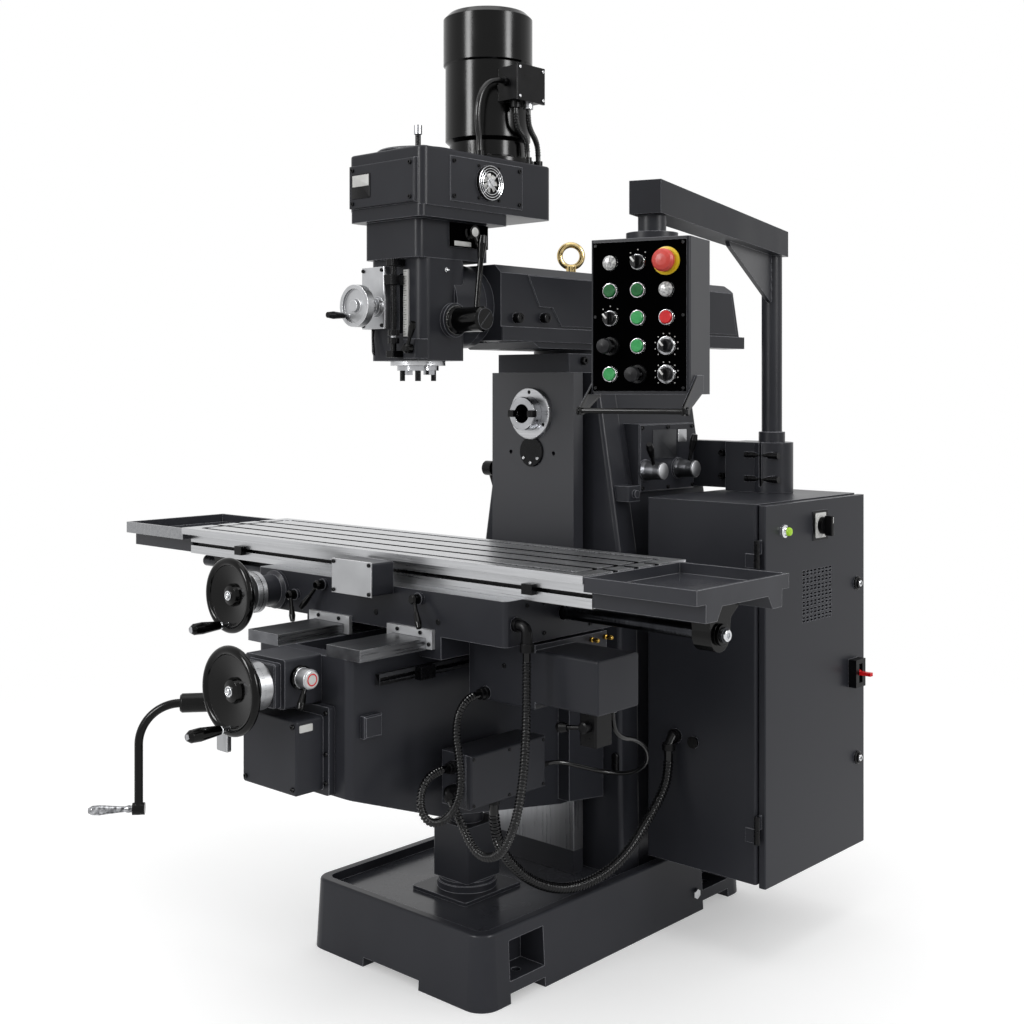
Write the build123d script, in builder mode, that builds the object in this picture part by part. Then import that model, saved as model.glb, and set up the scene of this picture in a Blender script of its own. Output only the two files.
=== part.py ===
from build123d import *
import os
from math import cos, pi, radians, sin, tan

os.makedirs("parts", exist_ok=True)

# Turret milling machine in millimetres. X runs to the operator's right, Y to the back and Z up.
# The origin is on the floor, under the front face of the column slideway.

FIT = 0.05  # running clearance of slides and shafts
GAP = 0.4  # clearance of moving faces that are not a fit
UP, DOWN, RIGHT = (0, 0, 1), (0, 0, -1), (1, 0, 0)
FORWARD, BACKWARD = (0, -1, 0), (0, 1, 0)

# Base casting and the stand of the elevating screw
BASE_HALF = 267
BASE_FRONT, BASE_BACK = -447, 485
BASE_HEIGHT = 150
BASE_DRAFT = 3.4
BASE_CORNER = 45
DECK = 130
RIM = 30
POCKETS_Y = ((-364, -259), (310, 415))
POCKET_Z = (44, 124)
POCKET_DEPTH = 70
ANCHOR_X, ANCHOR_RADIUS = 232, 10
NOTCH_HEIGHT = 20
FRONT_NOTCH_HALF = 85
SCREW_Y = -217
SCREW_RADIUS = 16
STAND_POST_TOP = 281
STAND_SLEEVE_TOP = 430

# Column
SLIDE_HALF, SLIDE_DEPTH = 126, 33
COLUMN_TOP = 1268
COLUMN_BACK = 445
FLARE_FRONT = 60
FLARE_LEVELS = (DECK, 862, COLUMN_TOP)
PILASTER_HALVES = (218, 210, 142)
BODY_HALVES = (208, 200, 132)
NECK_HALF = 100
SEAT_HALF = 110
SEAT_TOP = 1311
ARBOR_Z = 1173
ARBOR_RADIUS = 39
ARBOR_FACE = -36
SPEED_COVER_X = 200
SPEED_DRUMS_Y = (170, 300)
SPEED_DRUM_Z = 1041
BACK_GEAR_Y, BACK_GEAR_Z = 92, 1033

# Cabinet and its door
CABINET_X, CABINET_Y, CABINET_Z = (250, 536), (112, 545), (175, 985)
SHEET = 4
DOOR_X, DOOR_Y, DOOR_Z = (538, 555), (120, 553), (168, 982)
HINGE = (543, 106)
HINGE_LEVELS = (265, 850)
HINGE_RADIUS, HINGE_PIN, KNUCKLE = 6, 2.5, 29
SWITCH_Y, SWITCH_Z = 348, 925
BREAKER_Y, BREAKER_Z = 500, 572

# Pendant arm and pendant
POST = (380, 430)
POST_RADIUS = 24
SOCKET_Z = (986, 1104)
BEAM_Z = (1545, 1605)
BEAM_HALF = 30
PENDANT = (633, -387)
PENDANT_TURN = 15
PENDANT_X, PENDANT_Y, PENDANT_Z = (-97, 92), (-55, 55), (1222, 1500)
PANEL_COLUMNS = (-57, -4, 50)
PANEL_ROWS = (1457, 1407, 1358, 1308, 1258)
PANEL_THICKNESS = 3
CAP_RADIUS = 11.5
BEZEL_RADIUS = 14.5
SPIGOT_RADIUS = 14

# Knee
KNEE_HALF = 140
KNEE_FRONT = -681
KNEE_SIDE = ((-681, 717), (-681, 452), (-440, 366), (-60, 306), (-FIT, 306), (-FIT, 717))
WAY_TOP, WAY_THICKNESS = 740, 23
WAY_INNER, WAY_OUTER = 75, 172
KNEE_CEILING, CHANNEL_FLOOR = 600, 620
CROSS_Z = 666
CROSS_WHEEL_Y = -851
CRANK_FOOT = (-100, -681, 605)
CRANK_AXIS = (-0.64, -0.7684, 0)
JUNCTION_X, JUNCTION_Y, JUNCTION_Z = (172, 252), (-464, -241), (406, 512)

# Saddle
SADDLE_HALF = 377
SADDLE_FRONT, SADDLE_BACK = -500, -165
SADDLE_FOOT, SADDLE_TOP = 745, 832
KEEPER_OUTER, KEEPER_FOOT = 205, 700
DOVETAIL_HALF, DOVETAIL_HEIGHT, DOVETAIL_SPREAD = 70, 22, 15
TABLE_WHEEL = (-310, -628, 788)
LOCK_X, LOCK_Z = 147, 815

# Table
TABLE_X = (-701, 549)
TABLE_CENTRE_Y = -323
TABLE_WIDTH = 320
TABLE_TOP = 895
TABLE_FLANGE = 15
APRON_INSET = 27
SLOT_PITCH, SLOT_NECK, SLOT_HEAD = 64, 14, 23
SLOT_NECK_DEPTH, SLOT_DEPTH = 14, 23
TRAY_LENGTH = 246
FEED_Y, FEED_Z = -330, 793
FEED_SCREW_RADIUS = 14

# Turret, ram and head
PIVOT_Y, PIVOT_RADIUS = 170, 40
TURRET_TOP = 1335
RAM_HALF, RAM_TOP = 110, 1500
RAM_FRONT, RAM_BACK = -225, 726
RAM_WAY_TOP = 1366
TAIL_HALF, TAIL_HEIGHT, TAIL_SPREAD = 45, 27, 17
TILT_Z, TILT_RADIUS = 1410, 90
SPINDLE_Y = -366
QUILL_RADIUS = 43
NOSE_RADIUS = 44.44
NOSE_Z = (1269.5, 1279.5)
JOURNAL_RADIUS, JOURNAL_TOP = 24, 1302
SHANK_RADIUS, SHANK_TOP = 11, 1470
HOUSING_HALF = 83
HOUSING_Y, HOUSING_Z = (-432, -300), (1290, 1503)
UPPER_Y, UPPER_Z = (-445, -234), (1503, 1583)
GEARCASE_HALF = 114
GEARCASE_Y, GEARCASE_Z = (-463, -61), (1607, 1727)
LIP_HALF, LIP_Y = 110, (-463, -200)
MOTOR_Y = -149
MOTOR_RADIUS, COWL_RADIUS = 95.5, 100
MOTOR_LEVELS = (1727, 1738, 1784, 1950, 2068)
QUILL_LEVER_Y, QUILL_LEVER_Z = -346, 1375
FINE_WHEEL = (-35, -512, 1403)
DEPTH_ROD = (20, -455)
RANGE_KNOB_Y, RANGE_KNOB_Z = -303, 1562

# Hoses: outside diameter, number of ribs, and the route from one fitting to the other
SADDLE_CONDUIT, SADDLE_CONDUIT_RIBS = 18, 60
SADDLE_CONDUIT_ROUTE = [
    (405, -472, 738),
    (405, -472, 676),
    (409, -478, 594),
    (408, -484, 512),
    (398, -489, 436),
    (376, -492, 378),
    (350, -493, 348),
    (318, -493, 336),
    (284, -491, 344),
    (247, -488, 390),
    (220, -488, 426),
]
FEED_CONDUIT, FEED_CONDUIT_RIBS = 17, 44
FEED_CONDUIT_ROUTE = [
    (250, -438, 630),
    (250, -468, 630),
    (250, -498, 604),
    (252, -507, 564),
    (254, -500, 516),
    (254, -498, 474),
    (252, -501, 434),
    (247, -518, 416),
    (238, -543, 415),
    (228, -561, 433),
    (217, -561, 460),
    (209, -543, 479),
    (206, -510, 484),
    (206, -482, 484),
]
FEED_CABLE = 9
FEED_CABLE_ROUTE = [
    (238, -223, 447),
    (238, -196, 447),
    (262, -160, 436),
    (318, -128, 424),
    (384, -120, 432),
    (438, -138, 468),
    (474, -190, 516),
    (492, -252, 548),
    (499, -302, 560),
    (498, -330, 584),
    (498, -330, 616),
]
CABINET_CONDUIT, CABINET_CONDUIT_RIBS = 23, 56
CABINET_CONDUIT_ROUTE = [
    (212, -356, 388),
    (212, -356, 336),
    (214, -326, 272),
    (226, -262, 208),
    (246, -180, 172),
    (268, -95, 176),
    (292, -24, 214),
    (310, 32, 284),
    (324, 72, 340),
    (329, 85, 388),
    (329, 85, 432),
]
MOTOR_CABLE = 12
MOTOR_CABLE_ROUTE = [
    (107, -215, 1896),
    (107, -246, 1896),
    (107, -278, 1872),
    (107, -294, 1832),
    (105, -293, 1792),
    (102, -283, 1762),
    (102, -283, 1737),
]
MOTOR_CONDUIT, MOTOR_CONDUIT_RIBS = 13, 14
MOTOR_CONDUIT_ROUTES = (
    [
        (122, -150, 1842),
        (122, -150, 1818),
        (119, -140, 1798),
        (104, -103, 1781),
        (100, -92, 1760),
        (100, -92, 1737),
    ],
    [
        (114, -182, 1842),
        (114, -182, 1818),
        (111, -172, 1798),
        (101, -136, 1783),
        (98, -126, 1766),
        (98, -126, 1742),
    ],
)


def block(x, y, z, corner=0, frame=Plane.XY, mode=Mode.ADD):
    """Upright block between (low, high) pairs, its upright edges rounded by corner."""
    with BuildSketch(frame.offset(z[0])) as plan:
        with Locations(((x[0] + x[1]) / 2, (y[0] + y[1]) / 2)):
            if corner:
                RectangleRounded(x[1] - x[0], y[1] - y[0], corner)
            else:
                Rectangle(x[1] - x[0], y[1] - y[0])
    extrude(plan.sketch, amount=z[1] - z[0], mode=mode)


def bar(start, along, radius, length, mode=Mode.ADD):
    """Round bar from a start point along a direction."""
    with BuildSketch(Plane(origin=start, z_dir=along)) as section:
        Circle(radius)
    extrude(section.sketch, amount=length, mode=mode)


def prism(plane, outline, length, mode=Mode.ADD):
    """Straight prism: a closed outline on a plane, extruded along its normal."""
    with BuildSketch(plane) as section:
        with BuildLine():
            Polyline(*outline, close=True)
        make_face()
    extrude(section.sketch, amount=length, mode=mode)


def turned(origin, along, outline, mode=Mode.ADD):
    """Turned shape: outline holds (radius, distance along the axis) points."""
    axis = Vector(*along).normalized()
    across = (Vector(*RIGHT) if abs(axis.Z) > 0.9 else Vector(*UP)).cross(axis).normalized()
    with BuildSketch(Plane(origin=origin, x_dir=axis.cross(across), z_dir=across)) as section:
        with BuildLine():
            Polyline(*outline, close=True)
        make_face()
    revolve(section.sketch, axis=Axis(origin, axis), mode=mode)


def pipe(route, bends, radius, mode=Mode.ADD):
    """Round bar along straight runs joined by tangent arcs."""
    with BuildLine() as path:
        FilletPolyline(*route, radius=bends)
    with BuildSketch(Plane(origin=path.line @ 0, z_dir=path.line % 0)) as section:
        Circle(radius)
    sweep(section.sketch, path=path.line, mode=mode)


def along_line(start, along, distance):
    """Point at a distance from the start along a direction."""
    return tuple(Vector(*start) + Vector(*along).normalized() * distance)


def lever(start, along, rod, length, grip, grip_length):
    """Lever: a thin rod with a swelling grip over its end."""
    bar(start, along, rod, length)
    swell = [(0, 0), (0.7 * grip, 0), (grip, 0.65 * grip_length), (0.75 * grip, grip_length), (0, grip_length)]
    turned(along_line(start, along, length - 4), along, swell)


def handwheel(centre, radius, grip_at):
    """Dished wheel facing the operator, with its hub and turning grip."""
    x, y, z = centre
    web = [(0, -28), (19, -28), (21, -16), (radius - 14, -8), (radius - 14, 2), (25, -8), (21, -1), (10, 2), (0, 2)]
    turned(centre, FORWARD, web)
    with Locations(Plane(origin=(x, y + 2, z), z_dir=FORWARD)):
        Torus(radius - 9, 9)
    grip_foot = (x + grip_at[0], y + 4, z + grip_at[1])
    bar(grip_foot, FORWARD, 5, 32)
    turned(grip_foot, FORWARD, [(0, 26), (9, 26), (13, 70), (12, 90), (7, 98), (0, 98)])


def hose_route(points):
    """Straight runs joined by arcs as large as the runs allow."""
    stops = [Vector(*point) for point in points]
    runs = [end - start for start, end in zip(stops, stops[1:])]
    bends = []
    for before, after in zip(runs, runs[1:]):
        half_turn = radians(before.get_angle(after) / 2)
        bends.append(0.45 * min(before.length, after.length) / tan(half_turn))
    print("hose bend radii", [round(bend) for bend in bends])
    with BuildLine() as path:
        FilletPolyline(*points, radius=bends)
    return path.wire()


def hose(route, diameter, mode=Mode.ADD):
    """Plain round hose along a route."""
    with BuildSketch(Plane(origin=route @ 0, z_dir=route % 0)) as section:
        Circle(diameter / 2)
    sweep(section.sketch, path=route, mode=mode)


def ribbed_hose(route, diameter, ribs, steady):
    """Ribbed conduit with its bore and plain end cuffs; its rings keep the steady direction."""
    crest, root, bore = 0.5 * diameter, 0.42 * diameter, 0.6 * diameter
    cuff = diameter / route.length
    pitch = (1 - 2 * cuff) / ribs
    rib = ((0.2, root), (0.35, crest), (0.65, crest), (0.8, root))
    stations = [(0, root), (cuff, root)]
    stations += [(cuff + (index + share) * pitch, radius) for index in range(ribs) for share, radius in rib]
    stations += [(1 - cuff, root), (1, root)]
    rings = []
    for place, radius in stations:
        with BuildSketch(Plane(origin=route @ place, x_dir=steady, z_dir=route % place)) as ring:
            Circle(radius)
        rings.append(ring.sketch)
    loft(rings, ruled=True)
    hose(route, bore, mode=Mode.SUBTRACT)


def both(pair, side):
    """The (low, high) pair on the right for side 1, or its mirror image on the left for -1."""
    return tuple(sorted((side * pair[0], side * pair[1])))


def save_group(label, *pieces):
    """Write the pieces of one node as separate solids."""
    group = Compound([solid for piece in pieces for solid in piece.part.solids()])
    group.label = label
    export_step(group, f"parts/{label}.step")


# Base: drafted casting with a sunk deck, anchor pockets and notches for lifting bars
with BuildPart() as base:
    with BuildSketch():
        with Locations((0, (BASE_FRONT + BASE_BACK) / 2)):
            RectangleRounded(2 * BASE_HALF, BASE_BACK - BASE_FRONT, BASE_CORNER)
    extrude(amount=BASE_HEIGHT, taper=BASE_DRAFT)
    fillet(base.faces().sort_by(Axis.Z)[-1].edges(), 6)
    deck_x = (RIM - BASE_HALF, BASE_HALF - RIM)
    block(deck_x, (BASE_FRONT + RIM, BASE_BACK - RIM), (DECK, BASE_HEIGHT + 1), 24, mode=Mode.SUBTRACT)
    for side in (-1, 1):
        for window in POCKETS_Y:
            pocket_x = both((BASE_HALF - POCKET_DEPTH, BASE_HALF + 5), side)
            block(pocket_x, window, POCKET_Z, mode=Mode.SUBTRACT)
            block(pocket_x, window, (-1, NOTCH_HEIGHT), mode=Mode.SUBTRACT)
            anchor = (side * ANCHOR_X, sum(window) / 2, -1)
            bar(anchor, UP, ANCHOR_RADIUS, POCKET_Z[0] + 2, mode=Mode.SUBTRACT)
    front_notch = (-FRONT_NOTCH_HALF, FRONT_NOTCH_HALF)
    block(front_notch, (BASE_FRONT - 5, BASE_FRONT + 60), (-1, NOTCH_HEIGHT), mode=Mode.SUBTRACT)
    bar((0, SCREW_Y, NOTCH_HEIGHT), UP, SCREW_RADIUS + 6, DECK, mode=Mode.SUBTRACT)
base.part.label = "base"
export_step(base.part, "parts/base.step")

# Screw stand: foot plate, turned rings, square post and the sleeve that holds the nut
with BuildPart() as screw_stand:
    block((-82, 82), (SCREW_Y - 89, SCREW_Y + 89), (DECK, DECK + 8), 6)
    bar((0, SCREW_Y, DECK + 8), UP, 66, 14)
    bar((0, SCREW_Y, DECK + 22), UP, 62, 8)
    block((-53, 53), (SCREW_Y - 53, SCREW_Y + 53), (DECK + 30, STAND_POST_TOP), 7)
    bar((0, SCREW_Y, STAND_POST_TOP), UP, 36.5, STAND_SLEEVE_TOP - STAND_POST_TOP)
    bar((0, SCREW_Y, DECK), UP, SCREW_RADIUS + 6, 220, mode=Mode.SUBTRACT)
    bar((0, SCREW_Y, DECK), UP, SCREW_RADIUS + GAP, STAND_SLEEVE_TOP, mode=Mode.SUBTRACT)
screw_stand.part.label = "screw_stand"
export_step(screw_stand.part, "parts/screw_stand.step")

# Column: flared body with a front pilaster, box slideway on a neck, and the turret seat
with BuildPart() as column:
    for halves, front, back in (
        (PILASTER_HALVES, FLARE_FRONT, FLARE_FRONT + 70),
        (BODY_HALVES, FLARE_FRONT + 60, COLUMN_BACK),
    ):
        for level, half in zip(FLARE_LEVELS, halves):
            with BuildSketch(Plane.XY.offset(level)):
                with Locations((0, (front + back) / 2)):
                    RectangleRounded(2 * half, back - front, 10)
        loft(ruled=True)
    block((-NECK_HALF, NECK_HALF), (SLIDE_DEPTH - 1, FLARE_FRONT + 20), (DECK, COLUMN_TOP))
    block((-SLIDE_HALF, SLIDE_HALF), (0, SLIDE_DEPTH), (DECK, COLUMN_TOP))
    block((-SEAT_HALF, SEAT_HALF), (2, 2 * PIVOT_Y - 2), (COLUMN_TOP, SEAT_TOP), 4)
    bar((0, PIVOT_Y, SEAT_TOP - 40), UP, PIVOT_RADIUS + FIT, 41, mode=Mode.SUBTRACT)
    bar((0, -1, ARBOR_Z), BACKWARD, ARBOR_RADIUS - 4 + FIT, 262, mode=Mode.SUBTRACT)
    bar((0, -1, ARBOR_Z), BACKWARD, ARBOR_RADIUS + GAP, 13, mode=Mode.SUBTRACT)
    bar((-220, BACK_GEAR_Y, BACK_GEAR_Z), RIGHT, 10 + FIT, 70, mode=Mode.SUBTRACT)
    for tapped_x in (-66, 66):
        bar((tapped_x, -1, 1082), BACKWARD, 5, 20, mode=Mode.SUBTRACT)
column.part.label = "column"
export_step(column.part, "parts/column.step")

# Spindle flange ring with sunk screws, and the blank cover tucked under it
with BuildPart() as spindle_flange:
    ring_bore = ARBOR_RADIUS + GAP
    turned((0, 0, ARBOR_Z), FORWARD, [(ring_bore, 0), (60, 0), (60, 8), (58, 10), (ring_bore, 10)])
    for angle in (90, 210, 330):
        screw_x, screw_z = 49.5 * cos(radians(angle)), 49.5 * sin(radians(angle))
        bar((screw_x, -11, ARBOR_Z + screw_z), BACKWARD, 4.5, 6, mode=Mode.SUBTRACT)
with BuildPart() as blank_cover:
    turned((0, 0, 1084), FORWARD, [(0, 0), (35, 0), (35, 3), (33, 5), (0, 5)])
    bar((0, 1, ARBOR_Z), FORWARD, 60.5, 12, mode=Mode.SUBTRACT)

# Cover of the speed gearbox on the flared right side, with a turned seat for each drum
with BuildPart() as speed_cover:
    block((150, SPEED_COVER_X), (151, 368), (990, 1149))
    chamfer(speed_cover.faces().sort_by(Axis.X)[-1].edges(), 3)
    for drum_y in SPEED_DRUMS_Y:
        bar((SPEED_COVER_X, drum_y, SPEED_DRUM_Z), RIGHT, 25, 5)
    add(column.part, mode=Mode.SUBTRACT)

# Socket that clamps the arm's post: web from the column, split clamp and its two bolts
with BuildPart() as arm_socket:
    block((160, 290), (400, 438), (992, SOCKET_Z[1]))
    block((280, 380), (384, 476), SOCKET_Z)
    bar((*POST, SOCKET_Z[0]), UP, 50, SOCKET_Z[1] - SOCKET_Z[0])
    bar((*POST, SOCKET_Z[0] + 14), UP, POST_RADIUS + FIT, 120, mode=Mode.SUBTRACT)
    block((376, 382), (370, 415), (SOCKET_Z[0] + 14, SOCKET_Z[1] + 1), mode=Mode.SUBTRACT)
    for bolt_z in (1018, 1074):
        bar((334, 388, bolt_z), RIGHT, 8, 42)
        bar((382, 388, bolt_z), RIGHT, 8, 42)
    add(column.part, mode=Mode.SUBTRACT)

# Lug that steadies the cabinet, and the screwed cover on the back of the column
with BuildPart() as cabinet_lug:
    block((160, 226), (74, 118), (975, 1010), 3)
    bar((226, 96, 992), RIGHT, 9, 8)
    add(column.part, mode=Mode.SUBTRACT)
with BuildPart() as rear_cover:
    block((-120, 120), (COLUMN_BACK, COLUMN_BACK + 8), (420, 900))
    chamfer(rear_cover.faces().sort_by(Axis.Y)[-1].edges(), 3)
save_group("column_fittings", spindle_flange, blank_cover, speed_cover, arm_socket, cabinet_lug, rear_cover)

# Horizontal spindle with a taper bore and two key slots across its nose
with BuildPart() as arbor_spindle:
    nose, shank = ARBOR_RADIUS, ARBOR_RADIUS - 4
    outline = [(0, 0), (nose - 2, 0), (nose, 2), (nose, 47), (shank, 47), (shank, 280), (0, 280)]
    turned((0, ARBOR_FACE, ARBOR_Z), BACKWARD, outline)
    taper = [(0, -1), (22.2, -1), (13, 64), (8.5, 66), (8.5, 120), (0, 120)]
    turned((0, ARBOR_FACE, ARBOR_Z), BACKWARD, taper, mode=Mode.SUBTRACT)
    for side in (-1, 1):
        slot_y, slot_z = (ARBOR_FACE - 1, ARBOR_FACE + 9), (ARBOR_Z - 8, ARBOR_Z + 8)
        block(both((20, 50), side), slot_y, slot_z, mode=Mode.SUBTRACT)
arbor_spindle.part.label = "arbor_spindle"
export_step(arbor_spindle.part, "parts/arbor_spindle.step")

# Speed drums: each a turned drum with a lever set in its rim
SPEED_LEVERS = {"speed_lever_left": (0.25, -0.62, 0.78), "speed_lever_right": (0.25, 0, 1)}
for (name, direction), drum_y in zip(SPEED_LEVERS.items(), SPEED_DRUMS_Y):
    with BuildPart() as speed_lever:
        foot = SPEED_COVER_X + 5 + GAP
        drum = [(0, 0), (24, 0), (22, 8), (20, 30), (20, 46), (18, 48), (0, 48)]
        turned((foot, drum_y, SPEED_DRUM_Z), RIGHT, drum)
        lever((foot + 24, drum_y, SPEED_DRUM_Z), direction, 4.5, 50, 9, 38)
    speed_lever.part.label = name
    export_step(speed_lever.part, f"parts/{name}.step")

# Back gear lever on the left of the column
with BuildPart() as back_gear_lever:
    bar((-230, BACK_GEAR_Y, BACK_GEAR_Z), RIGHT, 10, 76)
    bar((-232, BACK_GEAR_Y, BACK_GEAR_Z), RIGHT, 18, 26)
    lever((-220, BACK_GEAR_Y, BACK_GEAR_Z), (-0.15, 0.5, -0.85), 7, 90, 11, 45)
back_gear_lever.part.label = "back_gear_lever"
export_step(back_gear_lever.part, "parts/back_gear_lever.step")

# Cabinet: folded sheet body hung on two rails, with hinge pins and the hose elbow
with BuildPart() as cabinet:
    block(CABINET_X, CABINET_Y, CABINET_Z, 5)
    inside = tuple((low + SHEET, high - SHEET) for low, high in (CABINET_X, CABINET_Y, CABINET_Z))
    block(*inside, mode=Mode.SUBTRACT)
    mouth_y, mouth_z = (CABINET_Y[0] + 19, CABINET_Y[1] - 19), (CABINET_Z[0] + 19, CABINET_Z[1] - 19)
    block((CABINET_X[1] - SHEET - 1, CABINET_X[1] + 1), mouth_y, mouth_z, mode=Mode.SUBTRACT)
    for rail_z in (300, 800):
        block((180, CABINET_X[0] + 1), (250, 420), (rail_z, rail_z + 40))
    for level in HINGE_LEVELS:
        block((512, HINGE[0]), (109, 112.5), (level, level + KNUCKLE))
        bar((*HINGE, level), UP, HINGE_RADIUS, KNUCKLE)
        bar((*HINGE, level), UP, HINGE_PIN, 2 * KNUCKLE)
    pipe([(329, 114, 458), (329, 85, 458), (329, 85, 444)], 11, 11)
    bar((329, 113, 458), FORWARD, 16, 11)
    bar((329, 85, 432), UP, 14.5, 14)
    bar((377, 112.5, 452), FORWARD, 13, 7)
    add(column.part, mode=Mode.SUBTRACT)
cabinet.part.label = "cabinet"
export_step(cabinet.part, "parts/cabinet.step")

# Control gear on its mounting plate, inside the cabinet
GEAR_X = CABINET_X[0] + 2 * SHEET
with BuildPart() as gear_plate:
    block((GEAR_X - SHEET, GEAR_X), (150, 510), (260, 920))
with BuildPart() as transformer:
    block((GEAR_X, GEAR_X + 90), (180, 300), (285, 400), 8)
    block((GEAR_X + 20, GEAR_X + 70), (174, 306), (305, 380))
with BuildPart() as contactors:
    for row_z, depth in ((640, 62), (780, 48)):
        for unit_y in range(170, 450, 60):
            block((GEAR_X, GEAR_X + depth), (unit_y, unit_y + 48), (row_z, row_z + 80))
            block((GEAR_X + depth, GEAR_X + depth + 12), (unit_y + 10, unit_y + 38), (row_z + 18, row_z + 62))
with BuildPart() as terminals:
    block((GEAR_X, GEAR_X + 34), (170, 490), (480, 520))
    with Locations(Plane(origin=(GEAR_X + 34, 330, 500), z_dir=RIGHT, x_dir=BACKWARD)):
        with GridLocations(16, 1, 18, 1):
            Box(2, 46, 12, mode=Mode.SUBTRACT)
save_group("control_gear", gear_plate, transformer, contactors, terminals)

# Cabinet door: pressed pan with a vent grid, knuckles, two key locks, lamp and switch seats
with BuildPart() as cabinet_door:
    block(DOOR_X, DOOR_Y, DOOR_Z, 3)
    pan_y, pan_z = (DOOR_Y[0] + 3, DOOR_Y[1] - 3), (DOOR_Z[0] + 3, DOOR_Z[1] - 3)
    block((DOOR_X[0] - 1, DOOR_X[1] - SHEET), pan_y, pan_z, mode=Mode.SUBTRACT)
    with Locations(Plane(origin=(DOOR_X[1], 336, 772), z_dir=RIGHT, x_dir=BACKWARD)):
        with GridLocations(16.5, 17, 8, 7):
            Box(11, 12, 4 * SHEET, mode=Mode.SUBTRACT)
    for level in HINGE_LEVELS:
        foot = level + KNUCKLE + 1
        block((540, 546), (HINGE[1], DOOR_Y[0] + 1), (foot, foot + KNUCKLE))
        bar((*HINGE, foot), UP, HINGE_RADIUS, KNUCKLE)
        bar((*HINGE, foot), UP, HINGE_PIN + FIT, KNUCKLE, mode=Mode.SUBTRACT)
    plate = DOOR_X[1]
    for lock_z in (370, 777):
        turned((plate - 1, 519, lock_z), RIGHT, [(0, 0), (16, 0), (16, 4), (12, 6), (12, 10), (0, 10)])
    turned((plate - 1, 195, 923), RIGHT, [(0, 0), (14, 0), (14, 5), (10, 7), (8, 12), (0, 14)])
    block((plate - 1, plate + 2), (SWITCH_Y - 33, SWITCH_Y + 33), (SWITCH_Z - 33, SWITCH_Z + 33))
    bar((plate, SWITCH_Y, SWITCH_Z), RIGHT, 24, 5)
    block((plate - 1, plate + 20), (BREAKER_Y - 22, BREAKER_Y + 22), (BREAKER_Z - 32, BREAKER_Z + 32))
    slot_y, slot_z = (BREAKER_Y - 8, BREAKER_Y + 8), (BREAKER_Z - 22, BREAKER_Z + 22)
    block((plate + 4, plate + 21), slot_y, slot_z, mode=Mode.SUBTRACT)
cabinet_door.part.label = "cabinet_door"
export_step(cabinet_door.part, "parts/cabinet_door.step")

with BuildPart() as main_switch:
    face = DOOR_X[1] + 5 + GAP
    bar((face, SWITCH_Y, SWITCH_Z), RIGHT, 19, 10)
    block((face + 9, face + 28), (SWITCH_Y - 6, SWITCH_Y + 6), (SWITCH_Z - 22, SWITCH_Z + 22), 3)
main_switch.part.label = "main_switch"
export_step(main_switch.part, "parts/main_switch.step")

with BuildPart() as breaker_lever:
    pivot_x = DOOR_X[1] + 13
    bar((pivot_x, BREAKER_Y - 6, BREAKER_Z), BACKWARD, 7, 12)
    block((pivot_x, pivot_x + 34), (BREAKER_Y - 6, BREAKER_Y + 6), (BREAKER_Z - 4, BREAKER_Z + 4))
breaker_lever.part.label = "breaker_lever"
export_step(breaker_lever.part, "parts/breaker_lever.step")

# Pendant arm: post with collar and gusset, square beam and the spigot at its end
BEAM_ALONG = Vector(PENDANT[0] - POST[0], PENDANT[1] - POST[1], 0)
BEAM_REACH = BEAM_ALONG.length
with BuildPart() as pendant_arm:
    beam_frame = Plane(origin=(*POST, 0), x_dir=BEAM_ALONG, z_dir=UP)
    bar((*POST, SOCKET_Z[0] + 15), UP, POST_RADIUS, BEAM_Z[0] - SOCKET_Z[0] - 14)
    bar((*POST, SOCKET_Z[1] + GAP), UP, POST_RADIUS + 7, 24)
    block((-BEAM_HALF - 8, BEAM_REACH + BEAM_HALF + 8), (-BEAM_HALF, BEAM_HALF), BEAM_Z, frame=beam_frame)
    gusset_plane = Plane(origin=(*POST, 0), x_dir=BEAM_ALONG, z_dir=BEAM_ALONG.cross(Vector(*UP)))
    gusset = [(10, BEAM_Z[0] + 1), (375, BEAM_Z[0] + 1), (365, BEAM_Z[0] - 10), (34, 1435), (10, 1435)]
    prism(gusset_plane.offset(-5), gusset, 10)
    bar((*PENDANT, BEAM_Z[0] - 40), UP, SPIGOT_RADIUS, 41)
pendant_arm.part.label = "pendant_arm"
export_step(pendant_arm.part, "parts/pendant_arm.step")

# Pendant: housing on its neck, black panel, bezels, lamps and the guard bar below
TURN = radians(PENDANT_TURN)
OUTWARD = (sin(TURN), -cos(TURN), 0)
PENDANT_FRAME = Plane(origin=(*PENDANT, 0), x_dir=(cos(TURN), sin(TURN), 0), z_dir=UP)
PANEL_FRONT = PENDANT_Y[0] - PANEL_THICKNESS
CONTROLS = {  # (column, row) on the panel
    "selector_1": (1, 0),
    "emergency_stop": (2, 0),
    "green_button_1": (0, 1),
    "green_button_2": (1, 1),
    "selector_2": (0, 2),
    "green_button_3": (1, 2),
    "red_button": (2, 2),
    "joystick_1": (0, 3),
    "green_button_4": (1, 3),
    "speed_knob_1": (2, 3),
    "green_button_5": (0, 4),
    "joystick_2": (1, 4),
    "speed_knob_2": (2, 4),
}
LAMPS = ((0, 0), (2, 1))


def on_panel(place, out=0):
    """Point on the panel's face at a (column, row) place, moved out from the face."""
    column_x, row_z = PANEL_COLUMNS[place[0]], PANEL_ROWS[place[1]]
    return tuple(PENDANT_FRAME.from_local_coords(Vector(column_x, PANEL_FRONT - out, row_z)))


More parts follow.
